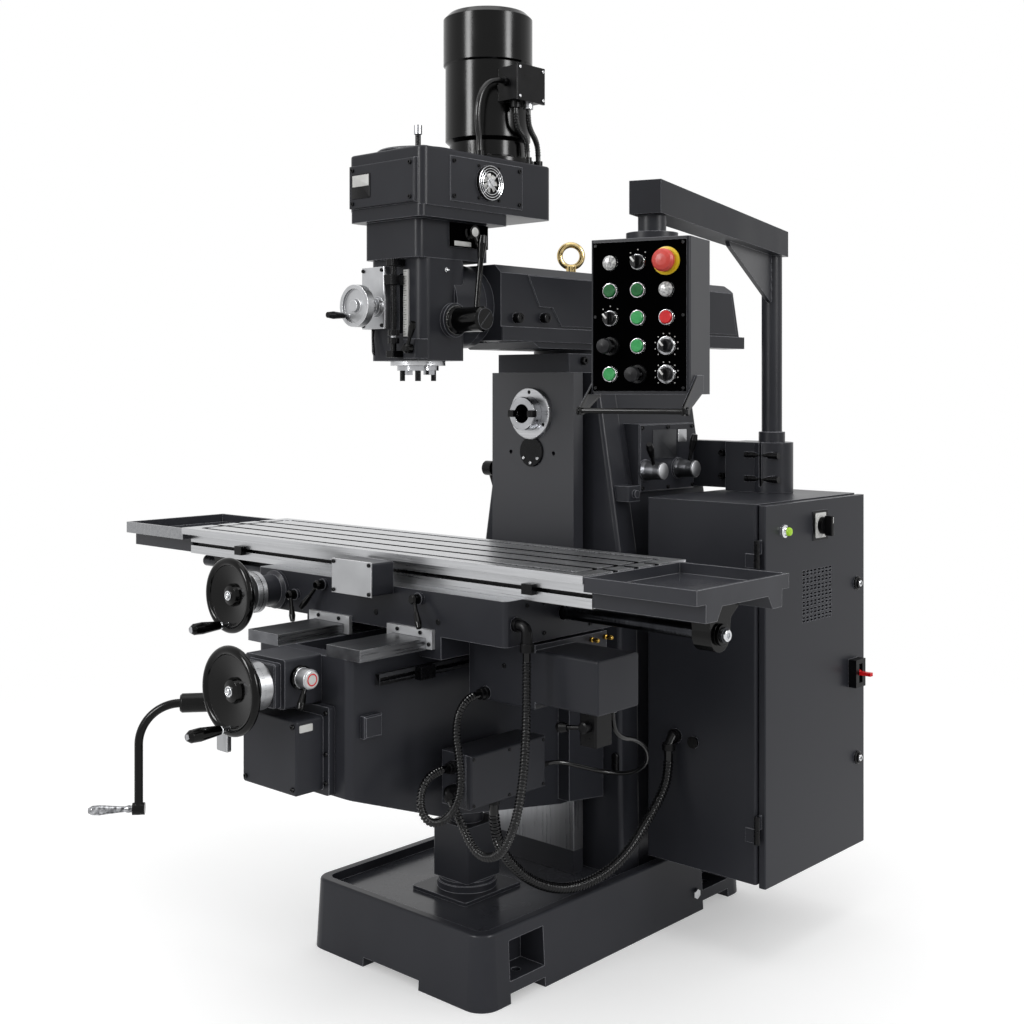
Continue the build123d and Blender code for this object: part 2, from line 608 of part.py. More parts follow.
with BuildPart() as pendant_housing:
    block(PENDANT_X, PENDANT_Y, PENDANT_Z, 6, frame=PENDANT_FRAME)
    neck_top = BEAM_Z[0] - GAP
    bar((*PENDANT, PENDANT_Z[1]), UP, 47, 13)
    bar((*PENDANT, PENDANT_Z[1] + 13), UP, 25.5, neck_top - PENDANT_Z[1] - 13)
    bar((*PENDANT, BEAM_Z[0] - 42), UP, SPIGOT_RADIUS + FIT, 42, mode=Mode.SUBTRACT)
    for place in CONTROLS.values():
        bar(on_panel(place, -PANEL_THICKNESS - 14), OUTWARD, CAP_RADIUS + GAP, 15, mode=Mode.SUBTRACT)
with BuildPart() as pendant_panel:
    panel_x, panel_z = (PENDANT_X[0] + 6, PENDANT_X[1] - 6), (PENDANT_Z[0] + 6, PENDANT_Z[1] - 6)
    block(panel_x, (PANEL_FRONT, PENDANT_Y[0]), panel_z, frame=PENDANT_FRAME)
    for place in CONTROLS.values():
        bar(on_panel(place, -5), OUTWARD, CAP_RADIUS + GAP, 6, mode=Mode.SUBTRACT)
with BuildPart() as bezels:
    for name, place in CONTROLS.items():
        rim = 20 if name == "emergency_stop" else 17 if name[:3] in ("joy", "spe") else BEZEL_RADIUS
        bore = CAP_RADIUS + GAP
        turned(on_panel(place), OUTWARD, [(bore, 0), (rim, 0), (rim - 1, 4), (bore, 4)])
    for place in LAMPS:
        turned(on_panel(place), OUTWARD, [(0, 0), (14, 0), (13, 5), (9, 8), (0, 9)])
with BuildPart() as guard_bar:
    strap = [(-96, 1186), (-84, 1186), (6, 1226), (6, 1256), (-26, 1256), (-96, 1200)]
    for strap_x in (PENDANT_X[0] - 4, PENDANT_X[1]):
        foot = PENDANT_FRAME.from_local_coords(Vector(strap_x, 0, 0))
        prism(Plane(origin=foot, x_dir=PENDANT_FRAME.y_dir, z_dir=PENDANT_FRAME.x_dir), strap, 4)
    rod_start = PENDANT_FRAME.from_local_coords(Vector(PENDANT_X[0] - 6, -90, 1193))
    bar(tuple(rod_start), tuple(PENDANT_FRAME.x_dir), 5, PENDANT_X[1] - PENDANT_X[0] + 12)
save_group("pendant_box", pendant_housing, pendant_panel, bezels, guard_bar)

# Pendant controls: push buttons, emergency stop, selectors, speed knobs and joysticks
for name, place in CONTROLS.items():
    with BuildPart() as control:
        cap = CAP_RADIUS
        if "button" in name:
            turned(on_panel(place), OUTWARD, [(0, -8), (cap, -8), (cap, 6), (cap - 1.5, 8), (0, 8)])
        elif "stop" in name:
            head = [(0, -8), (10, -8), (10, 10), (20, 12), (20, 20), (17, 25), (10, 28), (0, 29)]
            turned(on_panel(place), OUTWARD, head)
        elif "joystick" in name:
            stick = [(0, -8), (6, -8), (6, 4), (4, 8), (4, 18), (10, 20), (14, 27), (12, 35), (0, 37)]
            turned(on_panel(place), OUTWARD, stick)
            pin_end = Vector(*on_panel(place)) - PENDANT_FRAME.x_dir * 9
            bar(tuple(pin_end), tuple(PENDANT_FRAME.x_dir), 3, 18)
        else:
            turned(on_panel(place), OUTWARD, [(0, -8), (cap, -8), (cap, 10), (cap - 1, 12), (0, 12)])
            grip_plane = Plane(origin=on_panel(place, 11), x_dir=PENDANT_FRAME.x_dir, z_dir=OUTWARD)
            grip = (6, 21) if "selector" in name else (3, 18)
            block((-grip[0] / 2, grip[0] / 2), (-grip[1] / 2, grip[1] / 2), (0, 10), 1, frame=grip_plane)
    control.part.label = name
    export_step(control.part, f"parts/{name}.step")

# Knee: hollow casting with box ways on top, and guides that wrap the column slideway
with BuildPart() as knee:
    prism(Plane.YZ.offset(-KNEE_HALF), KNEE_SIDE, 2 * KNEE_HALF)
    fillet(knee.edges().filter_by(Axis.Z).group_by(Axis.Y)[0], 14)
    for side in (-1, 1):
        block(both((WAY_INNER, WAY_OUTER), side), (KNEE_FRONT, -20), (WAY_TOP - WAY_THICKNESS, WAY_TOP))
        prism(Plane.YZ.offset(side * 149.5 - 22.5), [(-70, 320), (50, 306), (50, 695), (-70, 695)], 45)
        block(both((104, 160), side), (SLIDE_DEPTH + FIT, 50), (306, 695))
    block((-SLIDE_HALF - FIT, SLIDE_HALF + FIT), (-FIT, SLIDE_DEPTH + FIT), (300, 720), mode=Mode.SUBTRACT)
    hollow = [(-640, 300), (-640, KNEE_CEILING), (-70, KNEE_CEILING), (-70, 290)]
    prism(Plane.YZ.offset(-112), hollow, 224, mode=Mode.SUBTRACT)
    bar((0, SCREW_Y, KNEE_CEILING - 30), UP, 45, 31)
    block((-70, 70), (-640, -60), (CHANNEL_FLOOR, WAY_TOP + 1), mode=Mode.SUBTRACT)
    bar((0, SCREW_Y, KNEE_CEILING - 40), UP, SCREW_RADIUS, 52, mode=Mode.SUBTRACT)
    bar((0, KNEE_FRONT - 1, CROSS_Z), BACKWARD, 12, 50, mode=Mode.SUBTRACT)
knee.part.label = "knee"
export_step(knee.part, "parts/knee.step")

# Covers on the knee: feed gearbox, front cover, crank bearing, trip rail with its dog
with BuildPart() as feed_gearbox:
    block((-60, 60), (-770, KNEE_FRONT), (626, 720))
    block((-48, 48), (-785, -770), (628, 712))
    fillet(feed_gearbox.edges().filter_by(Axis.Y), 5)
    chamfer(feed_gearbox.faces().sort_by(Axis.Y)[0].edges(), 2)
with BuildPart() as front_cover:
    block((-100, 100), (-696, KNEE_FRONT), (455, 624))
    block((-83, 83), (-761, -696), (464, 606))
    fillet(front_cover.edges().filter_by(Axis.Y), 6)
    fillet(front_cover.faces().sort_by(Axis.Y)[0].edges(), 4)
with BuildPart() as crank_bearing:
    bearing = [(0, 0), (34, 0), (34, 58), (27, 66), (25, 140), (0, 140)]
    turned(along_line(CRANK_FOOT, CRANK_AXIS, -30), CRANK_AXIS, bearing)
    for neighbour in (knee, feed_gearbox, front_cover):
        add(neighbour.part, mode=Mode.SUBTRACT)
    block((-300, 100), (KNEE_FRONT, -600), (500, 700), mode=Mode.SUBTRACT)
with BuildPart() as trip_rail:
    block((KNEE_HALF, KNEE_HALF + 12), (-614, -364), (660, 682))
    block((KNEE_HALF + 6, KNEE_HALF + 13), (-612, -366), (667, 675), mode=Mode.SUBTRACT)
with BuildPart() as trip_dog:
    block((KNEE_HALF + 12, KNEE_HALF + 30), (-520, -480), (658, 684))
with BuildPart() as side_pad:
    block((KNEE_HALF, KNEE_HALF + 14), (-652, -607), (564, 607))
    chamfer(side_pad.faces().sort_by(Axis.X)[-1].edges(), 3)
save_group("knee_covers", feed_gearbox, front_cover, crank_bearing, trip_rail, trip_dog, side_pad)

# Junction box on the knee's right side, with its bracket, lid, three hose glands and an elbow
GLANDS = (
    ((206, JUNCTION_Y[0], 484), FORWARD, 13),
    ((212, -356, JUNCTION_Z[0]), DOWN, 15),
    ((238, JUNCTION_Y[1], 447), BACKWARD, 8),
)
ELBOW, ELBOW_OUT = (208, JUNCTION_Y[0] - 24, 442), (0.6, 0, -0.8)
with BuildPart() as junction_box:
    block((KNEE_HALF, JUNCTION_X[0] + 1), (-430, -275), (422, 496))
    block(JUNCTION_X, JUNCTION_Y, JUNCTION_Z)
    fillet(junction_box.faces().sort_by(Axis.X)[-1].edges(), 5)
    lid_x = JUNCTION_X[1] - 16
    for low, high in ((JUNCTION_Y[0] - 1, JUNCTION_Y[0] + 2), (JUNCTION_Y[1] - 2, JUNCTION_Y[1] + 1)):
        block((lid_x, lid_x + 3), (low, high), (JUNCTION_Z[0] - 1, JUNCTION_Z[1] + 1), mode=Mode.SUBTRACT)
    for foot, direction, radius in GLANDS:
        bar(along_line(foot, direction, -3), direction, radius, 13)
        bar(along_line(foot, direction, 10), direction, radius - 2, 8)
    pipe([(208, JUNCTION_Y[0] + 2, 442), ELBOW, along_line(ELBOW, ELBOW_OUT, 14)], 9, 9)
    bar(along_line(ELBOW, ELBOW_OUT, 10), ELBOW_OUT, 11, 10)
junction_box.part.label = "junction_box"
export_step(junction_box.part, "parts/junction_box.step")

# Elevating screw under the knee and cross feed screw in its channel
with BuildPart() as elevating_screw:
    bar((0, SCREW_Y, 150), UP, SCREW_RADIUS, KNEE_CEILING + 12 - 150)
with BuildPart() as cross_screw:
    bar((0, KNEE_FRONT, CROSS_Z), BACKWARD, 12, -60 - KNEE_FRONT)
save_group("knee_screws", elevating_screw, cross_screw)

with BuildPart() as cross_handwheel:
    handwheel((0, CROSS_WHEEL_Y, CROSS_Z), 85, (-2, -69))
    dial = [(0, 0), (46, 0), (44, 26), (34, 29), (30, 44), (0, 44)]
    turned((0, -785 - GAP, CROSS_Z), FORWARD, dial)
cross_handwheel.part.label = "cross_handwheel"
export_step(cross_handwheel.part, "parts/cross_handwheel.step")

# Knee crank: hub, bent arm and turned grip
with BuildPart() as knee_crank:
    hub = [(0, 0), (21, 0), (19, 12), (19, 62), (16, 66), (0, 66)]
    turned(along_line(CRANK_FOOT, CRANK_AXIS, 110 + GAP), CRANK_AXIS, hub)
    elbow = along_line(CRANK_FOOT, CRANK_AXIS, 257)
    foot = (elbow[0], elbow[1], elbow[2] - 217)
    pipe([along_line(CRANK_FOOT, CRANK_AXIS, 150), elbow, foot], 80, 8.5)
    eye = (foot[0], foot[1], foot[2] + 10)
    bar(along_line(eye, CRANK_AXIS, -12), CRANK_AXIS, 12, 24)
    grip = [(0, 10), (6, 10), (7.5, 20), (5.5, 27), (8, 56), (10, 76), (9, 90), (5, 97), (0, 98)]
    turned(eye, CRANK_AXIS, grip)
knee_crank.part.label = "knee_crank"
export_step(knee_crank.part, "parts/knee_crank.step")

# Feed selector knob on the gearbox
with BuildPart() as feed_knob:
    turned((60 + GAP, -735, 683), RIGHT, [(0, 0), (23, 0), (23, 8), (19, 10), (19, 34), (16, 37), (0, 37)])
    lever((82, -735, 683), (0.3, -0.5, -0.8), 4.5, 36, 8, 30)
feed_knob.part.label = "feed_knob"
export_step(feed_knob.part, "parts/feed_knob.step")

# Saddle: body on way pads, keepers under the ways, dovetail for the table and the cross nut
with BuildPart() as saddle:
    half, foot = SADDLE_HALF, SADDLE_FOOT
    block((-half, half), (SADDLE_FRONT, SADDLE_BACK), (foot, SADDLE_TOP))
    fillet(saddle.edges().filter_by(Axis.Z), 10)
    length_y = (SADDLE_FRONT, SADDLE_BACK)
    lip_top = WAY_TOP - WAY_THICKNESS - FIT
    for side in (-1, 1):
        block(both((WAY_INNER, WAY_OUTER), side), length_y, (WAY_TOP + FIT, foot + 1))
        block(both((WAY_OUTER + FIT, KEEPER_OUTER), side), length_y, (KEEPER_FOOT, foot + 1))
        block(both((KNEE_HALF + 5, KEEPER_OUTER), side), length_y, (KEEPER_FOOT, lip_top))
    low, high = DOVETAIL_HALF, DOVETAIL_HALF + DOVETAIL_SPREAD
    tail_top = SADDLE_TOP + DOVETAIL_HEIGHT
    tail = [(FEED_Y - low, SADDLE_TOP - 1), (FEED_Y - low, SADDLE_TOP), (FEED_Y - high, tail_top)]
    tail += [(FEED_Y + high, tail_top), (FEED_Y + low, SADDLE_TOP), (FEED_Y + low, SADDLE_TOP - 1)]
    prism(Plane.YZ.offset(-half), tail, 2 * half)
    bar((-half - 1, FEED_Y, FEED_Z), RIGHT, FEED_SCREW_RADIUS + 2, 2 * half + 2, mode=Mode.SUBTRACT)
    block((-30, 30), (-345, -285), (650, foot + 1), 4)
    bar((0, -350, CROSS_Z), BACKWARD, 12 + GAP, 70, mode=Mode.SUBTRACT)
    pipe([(half - 2, -472, 786), (405, -472, 786), (405, -472, 750)], 14, 10.5)
    bar((half - 1, -472, 786), RIGHT, 14, 9)
    bar((405, -472, 738), UP, 13.5, 16)
saddle.part.label = "saddle"
export_step(saddle.part, "parts/saddle.step")

# Fittings on the saddle: way wipers, trip box with its plate, handwheel bearing and lock bosses
with BuildPart() as wipers:
    for side in (-1, 1):
        block(both((58, 188), side), (SADDLE_FRONT - 9, SADDLE_FRONT), (719, 757))
        clear = both((WAY_INNER - GAP, WAY_OUTER + GAP), side)
        block(clear, (SADDLE_FRONT - 10, SADDLE_FRONT + 1), (700, WAY_TOP + GAP), mode=Mode.SUBTRACT)
with BuildPart() as trip_box:
    block((-46, 68), (-560, SADDLE_FRONT), (816, 882))
    fillet(trip_box.edges().filter_by(Axis.Y), 4)
with BuildPart() as trip_plate:
    block((-49, 71), (-563, -560), (815, 885))
with BuildPart() as wheel_bearing:
    bearing = [(0, 0), (42, 0), (42, 8), (34, 14), (34, 58), (0, 58)]
    turned((TABLE_WHEEL[0], SADDLE_FRONT, TABLE_WHEEL[2]), FORWARD, bearing)
with BuildPart() as lock_bosses:
    for boss_x, boss_z in ((-LOCK_X, LOCK_Z), (LOCK_X, LOCK_Z), (-240, 784)):
        bar((boss_x, SADDLE_FRONT, boss_z), FORWARD, 12, 8)
save_group("saddle_fittings", wipers, trip_box, trip_plate, wheel_bearing, lock_bosses)

# Power feed: gearbox under the saddle, motor cover, switch box beneath it and two hose glands
with BuildPart() as feed_box:
    block((KEEPER_OUTER, 330), (-420, -200), (615, SADDLE_FOOT))
    block((329, 380), (-420, -200), (615, 740))
    fillet(feed_box.faces().sort_by(Axis.Z)[0].edges(), 6)
    with BuildSketch(Plane.YZ.offset(379)) as cover:
        with Locations((-357.5, 678.5)):
            RectangleRounded(125, 103, 6)
    extrude(cover.sketch, amount=155)
    fillet(feed_box.faces().sort_by(Axis.X)[-1].edges(), 4)
    block((465, 505), (-390, -340), (558, 628), 4)
    bar((250, -412, 630), FORWARD, 13, 16)
    bar((250, -428, 630), FORWARD, 11, 10)
    bar((498, -330, 640), DOWN, 8, 24)
feed_box.part.label = "feed_box"
export_step(feed_box.part, "parts/feed_box.step")

with BuildPart() as feed_lever:
    turned((485, -390 - GAP, 596), FORWARD, [(0, 0), (11, 0), (11, 14), (8, 16), (0, 16)])
    lever((485, -399, 596), (-0.97, -0.2, -0.1), 4.5, 40, 11, 22)
feed_lever.part.label = "feed_lever"
export_step(feed_lever.part, "parts/feed_lever.step")

with BuildPart() as table_handwheel:
    handwheel(TABLE_WHEEL, 81, (-5, -62))
    dial = [(0, 0), (45, 0), (44, 24), (34, 28), (30, 48), (0, 48)]
    turned((TABLE_WHEEL[0], -558 - GAP, TABLE_WHEEL[2]), FORWARD, dial)
table_handwheel.part.label = "table_handwheel"
export_step(table_handwheel.part, "parts/table_handwheel.step")

# Lock levers on the saddle's front
LOCKS = {
    "table_lock_left": ((-LOCK_X, LOCK_Z), (-0.55, -0.3, -0.8)),
    "table_lock_right": ((LOCK_X, LOCK_Z), (0.55, -0.3, -0.8)),
    "saddle_lock": ((-240, 784), (0.55, -0.35, -0.75)),
}
for name, ((lock_x, lock_z), direction) in LOCKS.items():
    with BuildPart() as lock:
        hub = [(0, 0), (10, 0), (10, 14), (7, 18), (0, 18)]
        turned((lock_x, SADDLE_FRONT - 8 - GAP, lock_z), FORWARD, hub)
        lever((lock_x, SADDLE_FRONT - 18, lock_z), direction, 4, 34, 7, 34)
    lock.part.label = name
    export_step(lock.part, f"parts/{name}.step")

# Table: flange over an apron, three T-slots, gutter round the slots, dovetail slot below
TABLE_Y = (TABLE_CENTRE_Y - TABLE_WIDTH / 2, TABLE_CENTRE_Y + TABLE_WIDTH / 2)
APRON_Y = (TABLE_Y[0] + APRON_INSET, TABLE_Y[1] - APRON_INSET)
TABLE_FOOT = SADDLE_TOP + FIT
TABLE_LENGTH = TABLE_X[1] - TABLE_X[0]
with BuildPart() as table:
    flange_foot = TABLE_TOP - TABLE_FLANGE
    block(TABLE_X, TABLE_Y, (flange_foot, TABLE_TOP))
    block(TABLE_X, APRON_Y, (TABLE_FOOT, flange_foot + 1))
    end = Plane.YZ.offset(TABLE_X[0] - 1)
    neck, head = SLOT_NECK / 2, SLOT_HEAD / 2
    shoulder, floor = TABLE_TOP - SLOT_NECK_DEPTH, TABLE_TOP - SLOT_DEPTH
    for slot in (-1, 0, 1):
        middle = TABLE_CENTRE_Y + slot * SLOT_PITCH
        tee = [(middle - neck, TABLE_TOP + 1), (middle - neck, shoulder), (middle - head, shoulder)]
        tee += [(middle - head, floor), (middle + head, floor), (middle + head, shoulder)]
        tee += [(middle + neck, shoulder), (middle + neck, TABLE_TOP + 1)]
        prism(end, tee, TABLE_LENGTH + 2, mode=Mode.SUBTRACT)
    low, high = DOVETAIL_HALF + FIT, DOVETAIL_HALF + DOVETAIL_SPREAD + 2
    slot_top = SADDLE_TOP + DOVETAIL_HEIGHT + 2
    tail = [(FEED_Y - low, TABLE_FOOT - 1), (FEED_Y - low, TABLE_FOOT), (FEED_Y - high, slot_top)]
    tail += [(FEED_Y + high, slot_top), (FEED_Y + low, TABLE_FOOT), (FEED_Y + low, TABLE_FOOT - 1)]
    prism(end, tail, TABLE_LENGTH + 2, mode=Mode.SUBTRACT)
    with BuildSketch(Plane.XY.offset(TABLE_TOP - 5)) as gutter:
        with Locations(((TABLE_X[0] + TABLE_X[1]) / 2, TABLE_CENTRE_Y)):
            RectangleRounded(TABLE_LENGTH - 70, TABLE_WIDTH - 46, 20)
            RectangleRounded(TABLE_LENGTH - 98, TABLE_WIDTH - 74, 8, mode=Mode.SUBTRACT)
    extrude(gutter.sketch, amount=6, mode=Mode.SUBTRACT)
    groove_x, groove_y = (TABLE_X[0] - 1, TABLE_X[1] + 1), (APRON_Y[0] - 1, APRON_Y[0] + 12)
    block(groove_x, groove_y, (851, 859), mode=Mode.SUBTRACT)
table.part.label = "table"
export_step(table.part, "parts/table.step")

# End trays: shallow catch trays with a set-back body and a trapezoid gap for the feed screw
with BuildPart() as end_trays:
    for tray_x in ((TABLE_X[0] - TRAY_LENGTH, TABLE_X[0]), (TABLE_X[1], TABLE_X[1] + TRAY_LENGTH)):
        block(tray_x, (-480, -185), (866, 893))
        block((tray_x[0] + 6, tray_x[1] - 6), (-474, -191), (872, 894), mode=Mode.SUBTRACT)
        block(tray_x, (-453, -209), (834, 867))
        notch = [(-420, 833), (-404, 858), (-256, 858), (-240, 833)]
        prism(Plane.YZ.offset(tray_x[0] - 1), notch, TRAY_LENGTH + 2, mode=Mode.SUBTRACT)
end_trays.part.label = "end_trays"
export_step(end_trays.part, "parts/end_trays.step")

# Feed screw with its two end brackets, and the trip dogs in the front groove
with BuildPart() as feed_screw:
    bar((-812, FEED_Y, FEED_Z), RIGHT, FEED_SCREW_RADIUS, 1566)
    for low, high in ((-737, -703), (702, 742)):
        ear = [(-402, 858), (-258, 858), (-272, 838), (-296, 820), (-300, FEED_Z)]
        ear += [(-360, FEED_Z), (-364, 820), (-388, 838)]
        prism(Plane.YZ.offset(low), ear, high - low)
        bar((low, FEED_Y, FEED_Z), RIGHT, 32, high - low)
    bar((742, FEED_Y, FEED_Z), RIGHT, 20, 8)
    bar((-754, FEED_Y, FEED_Z), RIGHT, 20, 20)
with BuildPart() as trip_dogs:
    for dog_x in (-495, 402):
        block((dog_x - 13, dog_x + 13), (APRON_Y[0] - 14, APRON_Y[0]), (845, 865))
        block((dog_x - 9, dog_x + 9), (APRON_Y[0] - 1, APRON_Y[0] + 9), (851.5, 858.5))
save_group("table_screw", feed_screw, trip_dogs)

# Turret: pivot, round disc, slab with a slanted nose, and the dovetail that carries the ram
with BuildPart() as turret:
    bar((0, PIVOT_Y, SEAT_TOP - 31), UP, PIVOT_RADIUS, 32)
    bar((0, PIVOT_Y, SEAT_TOP + FIT), UP, 108, 10)
    slab = [(-120, TURRET_TOP - FIT), (-96, SEAT_TOP + 10), (450, SEAT_TOP + 10), (450, TURRET_TOP - FIT)]
    prism(Plane.YZ.offset(-108), slab, 216)
    low, high, tail_top = TAIL_HALF, TAIL_HALF + TAIL_SPREAD, TURRET_TOP + TAIL_HEIGHT
    tail = [(-low, TURRET_TOP - 1), (-low, TURRET_TOP), (-high, tail_top)]
    tail += [(high, tail_top), (low, TURRET_TOP), (low, TURRET_TOP - 1)]
    prism(Plane.XZ.offset(-450), tail, 570)
turret.part.label = "turret"
export_step(turret.part, "parts/turret.step")

# Ram: way flange, body with chamfered top and sloping tail, side panels, tilt flange, lifting eye
RAM_SIDE = [(RAM_FRONT, RAM_TOP), (RAM_FRONT, RAM_WAY_TOP), (705, RAM_WAY_TOP), (674, 1488), (662, RAM_TOP)]
RAM_PANEL = [(-137, 1480), (-101, 1413), (-56, 1412), (-27, 1372), (688, 1372), (664, 1480)]
with BuildPart() as ram:
    prism(Plane.YZ.offset(-RAM_HALF), RAM_SIDE, 2 * RAM_HALF)
    chamfer(ram.edges().filter_by(Axis.Y).group_by(Axis.Z)[-1], 18)
    for side in (-1, 1):
        prism(Plane.YZ.offset(side * (RAM_HALF + 1) - 2), RAM_PANEL, 4)
    block((-115, 115), (RAM_FRONT, RAM_BACK), (TURRET_TOP, RAM_WAY_TOP), 4)
    depth = TAIL_HEIGHT + 2
    low = TAIL_HALF + 2 * FIT
    high = low + depth * TAIL_SPREAD / TAIL_HEIGHT
    tail = [(-low, TURRET_TOP - 1), (-low, TURRET_TOP), (-high, TURRET_TOP + depth)]
    tail += [(high, TURRET_TOP + depth), (low, TURRET_TOP), (low, TURRET_TOP - 1)]
    prism(Plane.XZ.offset(-RAM_BACK - 1), tail, RAM_BACK - RAM_FRONT + 2, mode=Mode.SUBTRACT)
    bar((0, RAM_FRONT + 1, TILT_Z), FORWARD, TILT_RADIUS, 26)
    for bolt_y, bolt_z in ((-177, 1385), (-87, 1388)):
        bar((RAM_HALF - 1, bolt_y, bolt_z), RIGHT, 11, 15)
with BuildPart() as lifting_eye:
    bar((0, 142, RAM_TOP), UP, 20, 9)
    bar((0, 142, RAM_TOP + 9), UP, 12, 14)
    with Locations(Plane(origin=(0, 142, RAM_TOP + 49), z_dir=(-1, 1, 0))):
        Torus(27, 7)
save_group("ram", ram, lifting_eye)

# Head casing: quill housing with its tilt disc, and the gearcase above it
with BuildPart() as quill_housing:
    block((-HOUSING_HALF, HOUSING_HALF), HOUSING_Y, HOUSING_Z, 22)
    block((-84, 84), UPPER_Y, UPPER_Z, 14)
    bar((0, HOUSING_Y[1] - 40, TILT_Z), BACKWARD, TILT_RADIUS + 2, 40 - 250.5 - HOUSING_Y[1])
    bar((HOUSING_HALF - 10, QUILL_LEVER_Y, QUILL_LEVER_Z), RIGHT, 36, 20)
    block((40, 82), (-450, -400), (1294, 1334), 6)
    block((80, 90), (-356, -244), (1530, 1580))
    bar((0, SPINDLE_Y, HOUSING_Z[0] - 1), UP, QUILL_RADIUS + FIT, 222, mode=Mode.SUBTRACT)
    rod_x = DEPTH_ROD[0]
    block((rod_x - 7.5, rod_x + 7.5), (-440, -380), (1346, 1472), mode=Mode.SUBTRACT)
with BuildPart() as gearcase:
    block((-LIP_HALF, LIP_HALF), LIP_Y, (UPPER_Z[1], GEARCASE_Z[0] + 1), 12)
    block((-GEARCASE_HALF, GEARCASE_HALF), GEARCASE_Y, GEARCASE_Z, 16)
    fillet(gearcase.faces().sort_by(Axis.Z)[-1].edges(), 5)
    block((-100, 100), (GEARCASE_Y[0] - 10, GEARCASE_Y[0] + 1), (1612, 1702))
    fillet(gearcase.faces().sort_by(Axis.Y)[0].edges(), 3)
    turned((0, SPINDLE_Y, GEARCASE_Z[1] - 1), UP, [(0, 0), (88, 0), (88, 6), (84, 9), (0, 9)])
    drawbar = [(0, 0), (6, 0), (6, 37), (8.5, 38), (8.5, 57), (7, 58), (0, 58)]
    turned((0, SPINDLE_Y, GEARCASE_Z[1] + 8), UP, drawbar)
    block((GEARCASE_HALF - 1, GEARCASE_HALF + 2), (-384, -162), (1621, 1714))
    fan = (GEARCASE_HALF + 1, -269, 1668)
    turned(fan, RIGHT, [(0, 0), (38, 0), (38, 5), (35, 8), (29, 8), (29, 3), (11, 3), (11, 8), (0, 8)])
    bar((102, -283, GEARCASE_Z[1] - 7), UP, 9, 17)
    bar((100, -92, GEARCASE_Z[1] - 7), UP, 10, 17)
save_group("head_casing", quill_housing, gearcase)

# Motor: flange, neck, smooth body, wider cowl, and the terminal box with its glands
with BuildPart() as motor:
    flange, neck, body, cowl, top = MOTOR_LEVELS
    outline = [(0, flange), (104, flange), (104, neck), (86, neck + 6), (86, body - 8), (MOTOR_RADIUS, body)]
    outline += [(MOTOR_RADIUS, cowl), (COWL_RADIUS, cowl + 4), (COWL_RADIUS, top - 12), (88, top), (0, top)]
    turned((0, MOTOR_Y, 0), UP, outline)
    block((80, 137), (-203, -118), (1857, 1930), 4)
    block((135, 141), (-206, -115), (1854, 1933), 2)
    bar((107, -200, 1896), FORWARD, 9, 15)
    bar((114, -182, 1858), DOWN, 11, 16)
    bar((122, -150, 1858), DOWN, 11, 16)
    bar((98, -126, flange), UP, 10, 15)
motor.part.label = "motor"
export_step(motor.part, "parts/motor.step")

# Head fittings: fine feed unit, depth rod with its lugs and nuts, and the depth scale
with BuildPart() as feed_unit:
    block((-84, -12), (-452, HOUSING_Y[0] + 20), (1357, 1487), 4)
    boss = [(0, 0), (22, 0), (20, 10), (14, 12), (14, 18), (0, 18)]
    turned((FINE_WHEEL[0], -452, FINE_WHEEL[2]), FORWARD, boss)
    add(quill_housing.part, mode=Mode.SUBTRACT)
with BuildPart() as depth_rod:
    for lug_z in (1296, 1486):
        block((rod_x - 11, rod_x + 11), (-468, HOUSING_Y[0]), (lug_z, lug_z + 14), 4)
    bar((*DEPTH_ROD, 1300), UP, 6, 192)
    for nut_z in (1325, 1341):
        bar((*DEPTH_ROD, nut_z), UP, 12, 12)
    add(quill_housing.part, mode=Mode.SUBTRACT)
with BuildPart() as depth_scale:
    block((29, 43), (-436, HOUSING_Y[0]), (1340, 1479))
save_group("head_fittings", feed_unit, depth_rod, depth_scale)

# Quill: sliding sleeve with its nose flange and the stop block that rides on the depth rod
with BuildPart() as quill:
    bore = JOURNAL_RADIUS + FIT
    outline = [(bore, 1280), (58.5, 1280), (58.5, 1289.6), (QUILL_RADIUS, 1289.6), (QUILL_RADIUS, 1500), (bore, 1500)]
    turned((0, SPINDLE_Y, 0), UP, outline)
    block((rod_x - 7, rod_x + 7), (-438, -396), (1447, 1467))
    block((rod_x - 14, rod_x + 13), (-472, -436.5), (1447, 1467), 4)
    bar((*DEPTH_ROD, 1440), UP, 6 + GAP, 40, mode=Mode.SUBTRACT)
quill.part.label = "quill"
export_step(quill.part, "parts/quill.step")

# Vertical spindle: nose with a taper bore, two drive keys and four hanging cap screws
with BuildPart() as spindle:
    low, high = NOSE_Z
    outline = [(0, low), (NOSE_RADIUS, low), (NOSE_RADIUS, high), (JOURNAL_RADIUS, high), (JOURNAL_RADIUS, JOURNAL_TOP)]
    turned((0, SPINDLE_Y, 0), UP, outline + [(SHANK_RADIUS, SHANK_TOP), (0, SHANK_TOP)])
    taper = [(0, low - 1), (22.2, low - 1), (13, low + 65), (13, low + 85), (0, low + 85)]
    turned((0, SPINDLE_Y, 0), UP, taper, mode=Mode.SUBTRACT)
    for side in (-1, 1):
        block(both((25, 42), side), (SPINDLE_Y - 8, SPINDLE_Y + 8), (low - 9, low + 1))
    with Locations((0, SPINDLE_Y, low - 10.5)):
        with PolarLocations(33, 4, start_angle=45):
            Cylinder(5.5, 23)
spindle.part.label = "spindle"
export_step(spindle.part, "parts/spindle.step")

